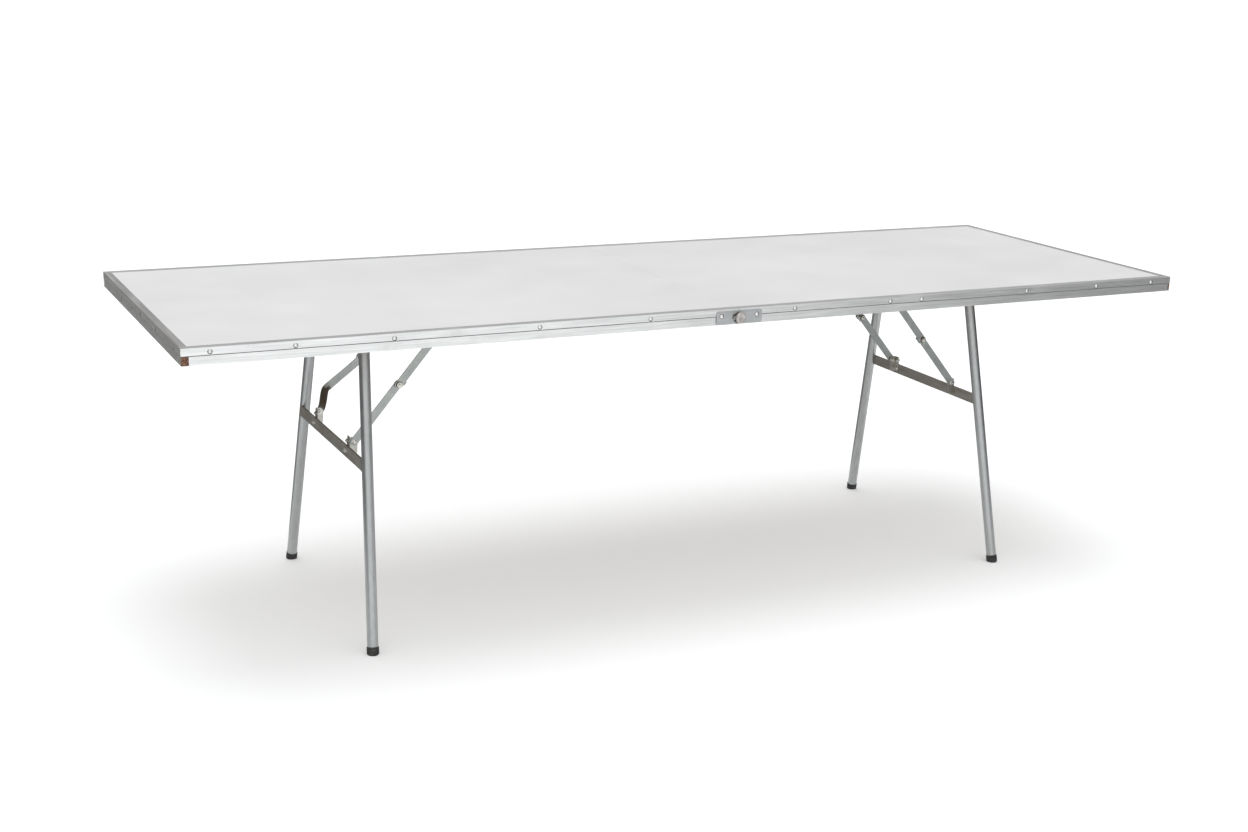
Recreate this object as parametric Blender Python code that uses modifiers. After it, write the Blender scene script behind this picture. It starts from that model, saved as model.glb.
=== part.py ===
"""Long folding table: a two-part top that folds at the middle, on two folding leg frames.

Metres, +Z up. The origin is on the floor under the middle of the top. X runs along the top,
the front long edge is at -Y. Each end of the table is built in its own frame whose +X points
outward from the middle, so both ends share one set of functions.
"""
from math import atan2, cos, hypot, pi, radians, sin

import bmesh
import bpy
from mathutils import Matrix, Vector

# Driving dimensions of the whole table
TOP_LENGTH = 2.500
TOP_WIDTH = 0.870
TABLE_HEIGHT = 0.744
EDGE_HEIGHT = 0.036
GAP = 0.0003            # between solids that touch on the real table
SEAM_HALF_GAP = 0.0002  # half of the hairline between the two halves of the top

# Top: layers from the top face down, as depths below the table's height
FLANGE_THICK = 0.0020
SHEET_DEPTH = 0.0010
SHEET_THICK = 0.0010
BOARD_DEPTH = SHEET_DEPTH + SHEET_THICK + GAP
BOARD_THICK = 0.0079
RAIL_DEPTH = BOARD_DEPTH + BOARD_THICK + GAP
RAIL_BOTTOM = EDGE_HEIGHT - 0.0005
RAIL_WIDTH = 0.040

# Aluminium edge strips
STRIP_WALL = 0.0022
LOWER_BAND_SETBACK = 0.0008
GROOVE_DEPTH = 0.0014
GROOVE_TOP = 0.0160
GROOVE_WIDTH = 0.0011
LONG_FLANGE = 0.020
END_FLANGE = 0.016
CORNER_CUT_LEFT = 0.016   # lower band torn off at the left front corner
CORNER_CUT_RIGHT = 0.005  # lower band worn back at the right front corner

# Leg frames
TUBE_RADIUS = 0.0125
PIVOT_X = 0.802
PIVOT_DEPTH = RAIL_DEPTH + TUBE_RADIUS + 0.0002
FOOT_X = 0.836
LEG_Y_TOP = 0.188
LEG_Y_FOOT = 0.340
BEND_RADIUS = 0.040
CROSSBAR_DROP = 0.3125    # along the frame, from the pivot axis to the bar's middle
CROSSBAR_HEIGHT = 0.026
CROSSBAR_THICK = 0.005
CROSSBAR_INNER = 0.0065   # from the frame's middle plane to the bar's inner face
SADDLE_Y = 0.112
SADDLE_WIDTH = 0.025
SADDLE_THICK = 0.002
SADDLE_FLANGE = 0.015
CAP_RADIUS = 0.0138
CAP_HEIGHT = 0.0175
CAP_FLOOR = 0.006

# Braces: two flat links a side, riveted at a knuckle
BRACE_Y = 0.140
BRACE_ANGLE = radians(50.0)  # below level, with the legs open
LINK_WIDTH = 0.018
LINK_THICK = 0.0025
LINK_SPREAD = 0.0024         # between the two links, bridged by the knuckle's boss
PIN_RADIUS = 0.0030
PIN_HOLE_RADIUS = PIN_RADIUS + GAP
PIN_DROP = 0.288             # along the frame, from the pivot axis to the bracket pin
PIN_OFFSET = 0.0034          # from the frame's middle plane towards the table's middle
EAR_THICK = 0.003
EAR_GAP = 0.0004
BRACKET_TOP_MARGIN = 0.010
BRACKET_HEIGHT = 0.042
BRACKET_FLANGE_WIDTH = 0.020
TOP_BRACKET_FLANGE = 0.020
TOP_BRACKET_HALF = 0.014
TOP_EAR_RADIUS = 0.0095
BRACKET_CORNER = 0.006
ANGLE_FLANGE_THICK = 0.002
BOSS_RADIUS = 0.006
KNUCKLE_HEAD_RADIUS = 0.0065
TAB_ROOT = 0.004             # the tab's arm starts this far before the knuckle
TAB_START = 0.005            # the folded tab itself starts this far past the knuckle
TAB_END = 0.015
TAB_CLEARANCE = 0.0006       # between the tab and the upper link's edge
TAB_THICK = 0.002

# Latches on both long edges, and the long hinge under the seam
LATCH_LENGTH = 0.058
LATCH_TOP = 0.005
LATCH_BOTTOM = 0.035
LATCH_THICK = 0.0015
LATCH_CORNER = 0.004
KNOB_DEPTH = 0.021
KNOB_RADIUS = 0.0125
KNOB_REACH = 0.0115
DOG_LENGTH = 0.034
DOG_HEIGHT = 0.009
DOG_THICK = 0.002
HINGE_RADIUS = 0.0028
HINGE_PIN_RADIUS = 0.0012
HINGE_DEPTH = RAIL_BOTTOM + 2 * GAP + HINGE_RADIUS
HINGE_LENGTH = 0.700
HINGE_LEAF_WIDTH = 0.024
HINGE_LEAF_THICK = 0.0012
HINGE_KNUCKLES = 5

SIDES = {"left": -1, "right": 1}
ROWS = {"front": -1, "rear": 1}
OVERLAP = 0.0006              # how far joined shapes run into each other
CUT_MARGIN = 0.010

LEG_DROP = TABLE_HEIGHT - PIVOT_DEPTH
SPLAY = atan2(FOOT_X - PIVOT_X, LEG_DROP)
FRAME_LENGTH = hypot(LEG_DROP, FOOT_X - PIVOT_X)
HALF_INNER = TOP_LENGTH / 2 - STRIP_WALL - GAP
SIDE_INNER = TOP_WIDTH / 2 - STRIP_WALL - GAP


def reset_scene():
    """Empty the scene and make the collections for the parts and the joining shapes."""
    for old in list(bpy.data.objects):
        bpy.data.objects.remove(old, do_unlink=True)
    groups = []
    for name in ("folding_table", "joining_shapes"):
        group = bpy.data.collections.new(name)
        bpy.context.scene.collection.children.link(group)
        groups.append(group)
    return groups


PARTS, HELPERS = reset_scene()


def make_material(name, colour, roughness, metallic):
    """A Principled material."""
    material = bpy.data.materials.new(name)
    material.use_nodes = True
    shader = material.node_tree.nodes["Principled BSDF"]
    shader.inputs["Base Color"].default_value = (*colour, 1.0)
    shader.inputs["Roughness"].default_value = roughness
    shader.inputs["Metallic"].default_value = metallic
    return material


WHITE_SHEET = make_material("white_sheet", (0.80, 0.80, 0.80), 0.35, 0.0)
CHIPBOARD = make_material("chipboard", (0.45, 0.28, 0.15), 0.85, 0.0)
PINE = make_material("pine", (0.55, 0.38, 0.21), 0.7, 0.0)
ALUMINIUM = make_material("aluminium", (0.78, 0.79, 0.79), 0.38, 1.0)
GALVANISED = make_material("galvanised_tube", (0.55, 0.57, 0.58), 0.42, 1.0)
DULL_STEEL = make_material("dull_steel", (0.27, 0.25, 0.23), 0.55, 0.9)
ZINC = make_material("zinc_plate", (0.48, 0.50, 0.48), 0.45, 1.0)
YELLOW_ZINC = make_material("yellow_zinc", (0.60, 0.57, 0.46), 0.35, 1.0)
BLACK_RUBBER = make_material("black_rubber", (0.03, 0.03, 0.03), 0.8, 0.0)


def empty(name, parent=None, location=(0, 0, 0), rotation=(0, 0, 0)):
    """A frame that other objects hang on."""
    frame = bpy.data.objects.new(name, None)
    PARTS.objects.link(frame)
    frame.parent = parent
    frame.location = location
    frame.rotation_euler = rotation
    return frame


def place(name, data, group, parent, location=(0, 0, 0), rotation=(0, 0, 0)):
    """Link an object with its parent, location and rotation."""
    thing = bpy.data.objects.new(name, data)
    group.objects.link(thing)
    thing.parent = parent
    thing.location = location
    thing.rotation_euler = rotation
    if group is HELPERS:
        thing.hide_render = True
        thing.display_type = "WIRE"
    return thing


def smooth(mesh, angle=35):
    """Smooth shading with creases kept sharp."""
    mesh.shade_smooth()
    mesh.set_sharp_from_angle(angle=radians(angle))


def box_mesh(name, low, high):
    """A box between two corners."""
    shape = bmesh.new()
    bmesh.ops.create_cube(shape, size=1.0)
    size = [b - a for a, b in zip(low, high)]
    middle = [(a + b) / 2 for a, b in zip(low, high)]
    matrix = Matrix.Translation(middle) @ Matrix.Diagonal((*size, 1.0))
    bmesh.ops.transform(shape, matrix=matrix, verts=shape.verts)
    mesh = bpy.data.meshes.new(name)
    shape.to_mesh(mesh)
    shape.free()
    return mesh


def box(name, low, high, material, parent=None, group=None):
    """A box as an object of its own."""
    corners = [sorted(pair) for pair in zip(low, high)]
    mesh = box_mesh(name, [pair[0] for pair in corners], [pair[1] for pair in corners])
    mesh.materials.append(material)
    return place(name, mesh, group or PARTS, parent)


def rod_mesh(name, radius, start, end, sides=24):
    """A cylinder between two points."""
    start = Vector(start)
    run = Vector(end) - start
    shape = bmesh.new()
    bmesh.ops.create_cone(shape, cap_ends=True, segments=sides, radius1=radius,
                          radius2=radius, depth=run.length)
    turn = run.to_track_quat("Z", "Y").to_matrix().to_4x4()
    bmesh.ops.transform(shape, matrix=Matrix.Translation(start + run / 2) @ turn,
                        verts=shape.verts)
    mesh = bpy.data.meshes.new(name)
    shape.to_mesh(mesh)
    shape.free()
    smooth(mesh)
    return mesh


def rod(name, radius, start, end, material, parent=None, group=None, sides=24):
    """A cylinder as an object of its own."""
    mesh = rod_mesh(name, radius, start, end, sides)
    mesh.materials.append(material)
    return place(name, mesh, group or PARTS, parent)


def arc(centre, radius, start, end, steps):
    """Points along an arc, both ends included."""
    turn = (end - start) / steps
    return [(centre[0] + radius * cos(start + turn * i), centre[1] + radius * sin(start + turn * i))
            for i in range(steps + 1)]


def circle(centre, radius, sides=16):
    """Points round a circle."""
    return arc(centre, radius, 0.0, 2 * pi, sides)[:-1]


def slot_outline(length, width, steps=8):
    """A strap's outline with round ends, from the origin along +X."""
    half = width / 2
    return arc((length, 0), half, -pi / 2, pi / 2, steps) + arc((0, 0), half, pi / 2, 3 * pi / 2, steps)


def extrude(name, outlines, start, end, material, parent, rotation):
    """A flat outline, with its holes, drawn in the curve's own plane and made thick.

    The outline's second coordinate and the thickness are turned by the rotation, and start
    and end are measured along the curve's own Z axis.
    """
    curve = bpy.data.curves.new(name, "CURVE")
    curve.dimensions = "2D"
    curve.fill_mode = "BOTH"
    curve.extrude = abs(end - start) / 2
    for outline in outlines:
        spline = curve.splines.new("POLY")
        spline.points.add(len(outline) - 1)
        for point, (u, v) in zip(spline.points, outline):
            point.co = (u, v, 0, 1)
        spline.use_cyclic_u = True
    source = place(name + "_outline", curve, PARTS, None)
    bpy.context.view_layer.update()
    ready = source.evaluated_get(bpy.context.evaluated_depsgraph_get())
    mesh = bpy.data.meshes.new_from_object(ready)
    bpy.data.objects.remove(source, do_unlink=True)
    shape = bmesh.new()
    shape.from_mesh(mesh)
    bmesh.ops.remove_doubles(shape, verts=shape.verts, dist=1e-6)
    turn = Matrix(rotation).to_4x4() @ Matrix.Translation((0, 0, (start + end) / 2))
    bmesh.ops.transform(shape, matrix=turn, verts=shape.verts)
    bmesh.ops.recalc_face_normals(shape, faces=shape.faces)
    shape.to_mesh(mesh)
    shape.free()
    mesh.name = name
    mesh.materials.append(material)
    smooth(mesh)
    return place(name, mesh, PARTS, parent)


UPRIGHT_ALONG_Y = ((1, 0, 0), (0, 0, -1), (0, 1, 0))   # outline (x, z), thickness along -Y
UPRIGHT_ALONG_X = ((0, 0, 1), (1, 0, 0), (0, 1, 0))    # outline (y, z), thickness along +X


def plate(name, outlines, near, far, material, parent):
    """A plate drawn in X and Z, between two Y positions."""
    return extrude(name, outlines, -near, -far, material, parent, UPRIGHT_ALONG_Y)


def bar(name, outline, start, end, material, parent):
    """A bar with a section drawn in Y and Z, between two X positions."""
    return extrude(name, [outline], start, end, material, parent, UPRIGHT_ALONG_X)


def turned(name, profile, material, parent, location, axis, group=None, steps=20):
    """A turned piece: its profile starts and ends on the axis and runs down its outer side."""
    mesh = bpy.data.meshes.new(name)
    points = [(radius, 0.0, height) for radius, height in profile]
    mesh.from_pydata(points, [(i, i + 1) for i in range(len(points) - 1)], [])
    mesh.materials.append(material)
    thing = place(name, mesh, group or PARTS, parent, location)
    thing.rotation_euler = Vector(axis).to_track_quat("Z", "Y").to_euler()
    screw = thing.modifiers.new("turn", "SCREW")
    screw.axis = "Z"
    screw.steps = steps
    screw.render_steps = steps
    screw.use_merge_vertices = True
    screw.merge_threshold = 1e-5
    screw.use_smooth_shade = True
    return thing


def combine(target, tool, operation):
    """Join a helper to a part, or cut it away, with an exact Boolean."""
    if tool.name in PARTS.objects:
        PARTS.objects.unlink(tool)
        HELPERS.objects.link(tool)
    tool.hide_render = True
    tool.display_type = "WIRE"
    step = target.modifiers.new(operation.lower(), "BOOLEAN")
    step.object = tool
    step.operation = operation
    step.solver = "EXACT"


def join(target, tool):
    """Make a helper part of the target's solid."""
    combine(target, tool, "UNION")


def cut(target, tool):
    """Cut a helper out of the target's solid."""
    combine(target, tool, "DIFFERENCE")


def level(depth):
    """Height above the floor of a depth below the table's top."""
    return TABLE_HEIGHT - depth


# Top -------------------------------------------------------------------------------------

def strip_section(flange):
    """Section of an edge strip: distance in from the outer face, and height."""
    top = level(0)
    lower_top = GROOVE_TOP + GROOVE_WIDTH
    return [
        (0.0, top),
        (0.0, level(GROOVE_TOP)),
        (GROOVE_DEPTH, level(GROOVE_TOP)),
        (GROOVE_DEPTH, level(lower_top)),
        (LOWER_BAND_SETBACK, level(lower_top)),
        (LOWER_BAND_SETBACK, level(EDGE_HEIGHT)),
        (STRIP_WALL, level(EDGE_HEIGHT)),
        (STRIP_WALL, level(FLANGE_THICK)),
        (flange, level(FLANGE_THICK)),
        (flange, top),
    ]


def long_strip(side_name, row_name):
    """Front or rear edge strip of one half."""
    side = SIDES[side_name]
    row = ROWS[row_name]
    outline = [(row * (TOP_WIDTH / 2 - inset), height) for inset, height in strip_section(LONG_FLANGE)]
    name = side_name + "_" + row_name + "_edge_strip"
    ends = sorted((side * SEAM_HALF_GAP, side * TOP_LENGTH / 2))
    strip = bar(name, outline, ends[0], ends[1], ALUMINIUM, None)
    if row_name == "front":
        wear = CORNER_CUT_LEFT if side_name == "left" else CORNER_CUT_RIGHT
        low = (side * (TOP_LENGTH / 2 - wear), -TOP_WIDTH / 2 - CUT_MARGIN, level(EDGE_HEIGHT) - CUT_MARGIN)
        high = (side * (TOP_LENGTH / 2 + CUT_MARGIN), -TOP_WIDTH / 2 + STRIP_WALL + OVERLAP,
                level(GROOVE_TOP + GROOVE_WIDTH / 2))
        cut(strip, box(name + "_wear", low, high, ALUMINIUM, None, HELPERS))


def end_strip(side_name):
    """Short strip across one end. Its flange stops between the long strips' flanges."""
    side = SIDES[side_name]
    name = side_name + "_end_edge_strip"
    outline = [(side * (TOP_LENGTH / 2 - inset), height) for inset, height in strip_section(END_FLANGE)]
    strip = extrude(name, [outline], -SIDE_INNER, SIDE_INNER, ALUMINIUM, None, UPRIGHT_ALONG_Y)
    for row_name, row in ROWS.items():
        low = (side * (TOP_LENGTH / 2 - LONG_FLANGE - CUT_MARGIN),
               row * (TOP_WIDTH / 2 - LONG_FLANGE - GAP), level(FLANGE_THICK + GAP))
        high = (side * (TOP_LENGTH / 2 + CUT_MARGIN), row * (TOP_WIDTH / 2 + CUT_MARGIN), level(-CUT_MARGIN))
        cut(strip, box(name + "_" + row_name + "_relief", low, high, ALUMINIUM, None, HELPERS))


def top_half(side_name):
    """White sheet, board, four rails and three edge strips of one half."""
    side = SIDES[side_name]
    seam = side * SEAM_HALF_GAP
    end = side * HALF_INNER
    sheet_end = side * (TOP_LENGTH / 2 - END_FLANGE - GAP)
    sheet_side = TOP_WIDTH / 2 - LONG_FLANGE - GAP
    box(side_name + "_white_sheet", (seam, -sheet_side, level(SHEET_DEPTH + SHEET_THICK)),
        (sheet_end, sheet_side, level(SHEET_DEPTH)), WHITE_SHEET)
    box(side_name + "_top_board", (seam, -SIDE_INNER, level(BOARD_DEPTH + BOARD_THICK)),
        (end, SIDE_INNER, level(BOARD_DEPTH)), CHIPBOARD)
    for row_name, row in ROWS.items():
        box(side_name + "_" + row_name + "_rail",
            (seam, row * (SIDE_INNER - RAIL_WIDTH), level(RAIL_BOTTOM)),
            (end, row * SIDE_INNER, level(RAIL_DEPTH)), PINE)
        long_strip(side_name, row_name)
    across = SIDE_INNER - RAIL_WIDTH - GAP
    for rail_name, inner in (("seam", seam), ("end", end - side * RAIL_WIDTH)):
        box(side_name + "_" + rail_name + "_rail", (inner, -across, level(RAIL_BOTTOM)),
            (inner + side * RAIL_WIDTH, across, level(RAIL_DEPTH)), PINE)
    end_strip(side_name)


# Leg frames, in an end frame whose +X points outward ---------------------------------------

def leg_y(drop):
    """Half the distance between the two legs' middles, at a distance down the frame."""
    return LEG_Y_TOP + (LEG_Y_FOOT - LEG_Y_TOP) * drop / FRAME_LENGTH


def leg_direction(row):
    """Unit vector down one leg, in the leg frame."""
    return Vector((0, row * (LEG_Y_FOOT - LEG_Y_TOP), -FRAME_LENGTH)).normalized()


def foot_point(row):
    """Where one leg's middle line meets the floor, in the leg frame."""
    return Vector((0, row * LEG_Y_FOOT, -FRAME_LENGTH))


def frame_path():
    """Middle line of the bent tube: up one leg, across the top bar, down the other leg."""
    slope = atan2(LEG_Y_FOOT - LEG_Y_TOP, FRAME_LENGTH)
    turn = pi / 2 - slope
    set_back = BEND_RADIUS * sin(turn / 2) / cos(turn / 2)
    bend = arc((LEG_Y_TOP - set_back, -BEND_RADIUS), BEND_RADIUS, pi / 2, slope, 7)
    foot = foot_point(1) - leg_direction(1) * (CAP_FLOOR + GAP)
    half = bend + [(foot.y, foot.z)]
    return [(-y, z) for y, z in reversed(half)] + half


def leg_tube(name, parent):
    """One tube bent into a leg, a top bar and a leg."""
    curve = bpy.data.curves.new(name, "CURVE")
    curve.dimensions = "3D"
    curve.bevel_depth = TUBE_RADIUS
    curve.bevel_resolution = 5
    curve.use_fill_caps = True
    path = frame_path()
    spline = curve.splines.new("POLY")
    spline.points.add(len(path) - 1)
    for point, (y, z) in zip(spline.points, path):
        point.co = (0, y, z, 1)
    spline.use_smooth = True
    curve.materials.append(GALVANISED)
    place(name, curve, PARTS, parent)


def crossbar(name, parent):
    """Flat bar across the two legs, coped round the tubes."""
    reach = leg_y(CROSSBAR_DROP) - 0.003
    half = CROSSBAR_HEIGHT / 2
    flat = box(name, (CROSSBAR_INNER, -reach, -CROSSBAR_DROP - half),
               (CROSSBAR_INNER + CROSSBAR_THICK, reach, -CROSSBAR_DROP + half), DULL_STEEL, parent)
    for row in ROWS.values():
        middle = Vector((0, row * leg_y(CROSSBAR_DROP), -CROSSBAR_DROP))
        run = leg_direction(row) * CROSSBAR_HEIGHT * 2
        cut(flat, rod(name + "_cope", TUBE_RADIUS + GAP, middle - run, middle + run,
                      DULL_STEEL, parent, HELPERS))


def foot_cap(name, parent, row):
    """Rubber cup over a leg's end, with its underside level on the floor."""
    inner = TUBE_RADIUS + GAP
    profile = [(0, CAP_FLOOR), (inner, CAP_FLOOR), (inner, CAP_HEIGHT), (CAP_RADIUS - 0.0005, CAP_HEIGHT),
               (CAP_RADIUS, CAP_HEIGHT - 0.001), (CAP_RADIUS, -0.004), (0, -0.004)]
    cap = turned(name, profile, BLACK_RUBBER, parent, foot_point(row), -leg_direction(row), steps=24)
    floor = box(name + "_floor", (-1, -1, -0.1), (1, 1, 0), BLACK_RUBBER, None, HELPERS)
    cut(cap, floor)


def crossbar_bracket(name, parent, row):
    """Angle plate on the crossbar's inner face, with an ear beside the lower link."""
    inner_side = CROSSBAR_INNER - GAP
    ear_far = BRACE_Y - EAR_GAP
    ear_near = ear_far - EAR_THICK
    top = -PIN_DROP + BRACKET_TOP_MARGIN
    low_x = -PIN_OFFSET - LINK_WIDTH / 2
    base = top - BRACKET_HEIGHT
    ear = [(inner_side, top), (low_x + BRACKET_CORNER, top), (low_x, top - BRACKET_CORNER),
           (low_x, base + BRACKET_CORNER), (low_x + BRACKET_CORNER, base), (inner_side, base)]
    hole = circle((-PIN_OFFSET, -PIN_DROP), PIN_HOLE_RADIUS)
    angle = plate(name, [ear, hole], row * ear_near, row * ear_far, YELLOW_ZINC, parent)
    flange = box(name + "_flange",
                 (inner_side - ANGLE_FLANGE_THICK, row * (ear_far - BRACKET_FLANGE_WIDTH), base),
                 (inner_side, row * (ear_near + OVERLAP), top), YELLOW_ZINC, parent, HELPERS)
    join(angle, flange)


def bracket_bolt(name, parent, row):
    """Pin through the bracket's ear and the lower link, with a nut head and a rivet head."""
    nut_face = -EAR_GAP - EAR_THICK - GAP
    rivet_face = LINK_THICK + GAP
    profile = [(0, rivet_face + 0.0016), (0.0034, rivet_face + 0.0013), (0.0050, rivet_face),
               (PIN_RADIUS, rivet_face), (PIN_RADIUS, nut_face), (0.0060, nut_face),
               (0.0060, nut_face - 0.0035), (0.0045, nut_face - 0.0042), (0, nut_face - 0.0042)]
    turned(name, profile, YELLOW_ZINC, parent, (-PIN_OFFSET, row * BRACE_Y, -PIN_DROP), (0, row, 0))


def saddle(name, parent, y):
    """Strap under the top bar, with a screw flange on each side."""
    inner = TUBE_RADIUS + GAP
    outer = inner + SADDLE_THICK
    ceiling = PIVOT_DEPTH - RAIL_DEPTH
    tip = outer + SADDLE_FLANGE
    outline = [(-tip, ceiling), (-tip, ceiling - SADDLE_THICK), (-outer, ceiling - SADDLE_THICK)]
    outline += arc((0, 0), outer, pi, 2 * pi, 16)
    outline += [(outer, ceiling - SADDLE_THICK), (tip, ceiling - SADDLE_THICK), (tip, ceiling)]
    outline += [(inner, ceiling)]
    outline += arc((0, 0), inner, 2 * pi, pi, 16)
    outline += [(-inner, ceiling)]
    plate(name, [outline], y - SADDLE_WIDTH / 2, y + SADDLE_WIDTH / 2, ZINC, parent)


# Braces ------------------------------------------------------------------------------------

def brace_geometry():
    """The top pin in the end frame, and the lengths of the upper and lower links."""
    pin_x = -PIN_OFFSET * cos(SPLAY) + PIN_DROP * sin(SPLAY)
    pin_z = -PIN_DROP * cos(SPLAY) - PIN_OFFSET * sin(SPLAY)
    rise = PIN_OFFSET - pin_z
    run = rise * cos(BRACE_ANGLE) / sin(BRACE_ANGLE)
    top_x = pin_x - run
    whole = hypot(run, rise)
    difference = PIN_DROP + top_x
    return (top_x, PIN_OFFSET), (whole + difference) / 2, (whole - difference) / 2


def link(name, length, near, far, material, parent, location, angle):
    """A strap with round ends, from its pivot along its own +X, then turned to its angle."""
    strap = plate(name, [slot_outline(length, LINK_WIDTH)], near, far, material, parent)
    strap.location = location
    strap.rotation_euler = (0, angle, 0)
    return strap


def head(name, radius, height, owner, x, y, outward):
    """A low rivet head, joined to its owner."""
    profile = [(0, height), (radius * 0.55, height * 0.85), (radius * 0.9, height * 0.4), (radius, 0),
               (radius, -OVERLAP), (0, -OVERLAP)]
    dome = turned(name, profile, ZINC, owner, (x, y, 0), (0, outward, 0), HELPERS, 16)
    join(owner, dome)


def lower_link(name, parent, row, length, angle):
    """Link from the crossbar bracket to the knuckle, with boss, rivet head and stop tab."""
    far = row * LINK_THICK
    strap = link(name, length, 0, far, ZINC, parent, (-PIN_OFFSET, row * BRACE_Y, -PIN_DROP), angle)
    # The tab reaches past the knuckle and folds over the upper link's lower edge.
    edge = LINK_WIDTH / 2 + TAB_CLEARANCE
    arm = box(name + "_tab_arm", (length - TAB_ROOT, 0, edge - TAB_ROOT),
              (length + TAB_END, far, edge + TAB_THICK), ZINC, strap, HELPERS)
    tab = box(name + "_tab", (length + TAB_START, 0, edge),
              (length + TAB_END, row * (2 * LINK_THICK + LINK_SPREAD), edge + TAB_THICK),
              ZINC, strap, HELPERS)
    boss = rod(name + "_boss", BOSS_RADIUS, (length, row * (LINK_THICK - OVERLAP), 0),
               (length, row * (LINK_THICK + LINK_SPREAD - EAR_GAP), 0), ZINC, strap, HELPERS)
    hole = rod(name + "_hole", PIN_HOLE_RADIUS, (0, -row * CUT_MARGIN, 0), (0, row * CUT_MARGIN, 0),
               ZINC, strap, HELPERS, 16)
    for piece in (arm, tab, boss):
        join(strap, piece)
    head(name + "_head", KNUCKLE_HEAD_RADIUS, 0.0022, strap, length, 0, -row)
    cut(strap, hole)


def upper_link(name, parent, row, length, top_pin):
    """Link from the top bracket to the knuckle, with its pivot rivet and a knuckle head."""
    near = row * (LINK_THICK + LINK_SPREAD)
    far = row * (2 * LINK_THICK + LINK_SPREAD)
    strap = link(name, length, near, far, ZINC, parent, (top_pin[0], row * BRACE_Y, top_pin[1]),
                 BRACE_ANGLE)
    head(name + "_head", KNUCKLE_HEAD_RADIUS, 0.0020, strap, length, far, row)
    ear_end = EAR_GAP + EAR_THICK + GAP
    profile = [(0, ear_end + 0.0018), (0.0035, ear_end + 0.0015), (0.0052, ear_end), (PIN_RADIUS, ear_end),
               (PIN_RADIUS, -OVERLAP), (0, -OVERLAP)]
    rivet = turned(name + "_rivet", profile, ZINC, strap, (0, far, 0), (0, row, 0), HELPERS, 16)
    join(strap, rivet)


def top_bracket(name, parent, row, top_pin):
    """Angle plate screwed under the board, with an ear that holds the upper link's rivet."""
    near = row * (BRACE_Y + 2 * LINK_THICK + LINK_SPREAD + EAR_GAP)
    far = near + row * EAR_THICK
    ceiling = PIVOT_DEPTH - RAIL_DEPTH
    x = top_pin[0]
    outline = [(x - TOP_EAR_RADIUS, ceiling)] + arc(top_pin, TOP_EAR_RADIUS, pi, 2 * pi, 12)
    outline += [(x + TOP_EAR_RADIUS, ceiling)]
    ear = plate(name, [outline, circle(top_pin, PIN_HOLE_RADIUS)], near, far, ZINC, parent)
    flange = box(name + "_flange",
                 (x - TOP_BRACKET_HALF, near + row * OVERLAP, ceiling - ANGLE_FLANGE_THICK),
                 (x + TOP_BRACKET_HALF, near + row * TOP_BRACKET_FLANGE, ceiling),
                 ZINC, parent, HELPERS)
    join(ear, flange)


def table_end(side_name):
    """Leg frame, saddles and braces of one end."""
    side = SIDES[side_name]
    turn = 0 if side > 0 else pi
    pivot = empty(side_name + "_leg_axis", None, (side * PIVOT_X, 0, level(PIVOT_DEPTH)), (0, 0, turn))
    legs = empty(side_name + "_leg_plane", pivot, (0, 0, 0), (0, -SPLAY, 0))
    leg_tube(side_name + "_leg_tube", legs)
    crossbar(side_name + "_crossbar", legs)
    top_pin, upper_length, lower_length = brace_geometry()
    lower_angle = BRACE_ANGLE + pi + SPLAY
    for row_name, world_row in ROWS.items():
        row = world_row * side
        start = side_name + "_" + row_name + "_"
        foot_cap(start + "foot_cap", legs, row)
        saddle(start + "leg_saddle", pivot, row * SADDLE_Y)
        crossbar_bracket(start + "crossbar_bracket", legs, row)
        bracket_bolt(start + "bracket_bolt", legs, row)
        lower_link(start + "lower_link", legs, row, lower_length, lower_angle)
        upper_link(start + "upper_link", pivot, row, upper_length, top_pin)
        top_bracket(start + "top_bracket", pivot, row, top_pin)


# Latches and hinge -------------------------------------------------------------------------

def latch(row_name):
    """Two plates across the seam on one long edge, and the knob that locks them."""
    row = ROWS[row_name]
    near = row * (TOP_WIDTH / 2 + GAP)
    far = near + row * LATCH_THICK
    low = level(LATCH_BOTTOM)
    high = level(LATCH_TOP)
    for side_name, side in SIDES.items():
        tip = LATCH_LENGTH
        outline = [(SEAM_HALF_GAP, low)]
        outline += arc((tip - LATCH_CORNER, low + LATCH_CORNER), LATCH_CORNER, -pi / 2, 0, 4)
        outline += arc((tip - LATCH_CORNER, high - LATCH_CORNER), LATCH_CORNER, 0, pi / 2, 4)
        outline += [(SEAM_HALF_GAP, high)]
        outline = [(side * x, z) for x, z in outline]
        plate(row_name + "_" + side_name + "_latch_plate", [outline], near, far, ZINC, None)
    base = far + row * GAP
    profile = [(0, KNOB_REACH), (KNOB_RADIUS - 0.003, KNOB_REACH), (KNOB_RADIUS, KNOB_REACH - 0.0025),
               (KNOB_RADIUS, 0.001), (KNOB_RADIUS - 0.001, 0), (0, 0)]
    knob = turned(row_name + "_latch_knob", profile, DULL_STEEL, None, (0, base, level(KNOB_DEPTH)),
                  (0, row, 0), steps=28)
    dog = box(row_name + "_latch_dog", (-DOG_LENGTH / 2, base, level(KNOB_DEPTH) - DOG_HEIGHT / 2),
              (DOG_LENGTH / 2, base + row * DOG_THICK, level(KNOB_DEPTH) + DOG_HEIGHT / 2),
              DULL_STEEL, None, HELPERS)
    join(knob, dog)


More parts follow.
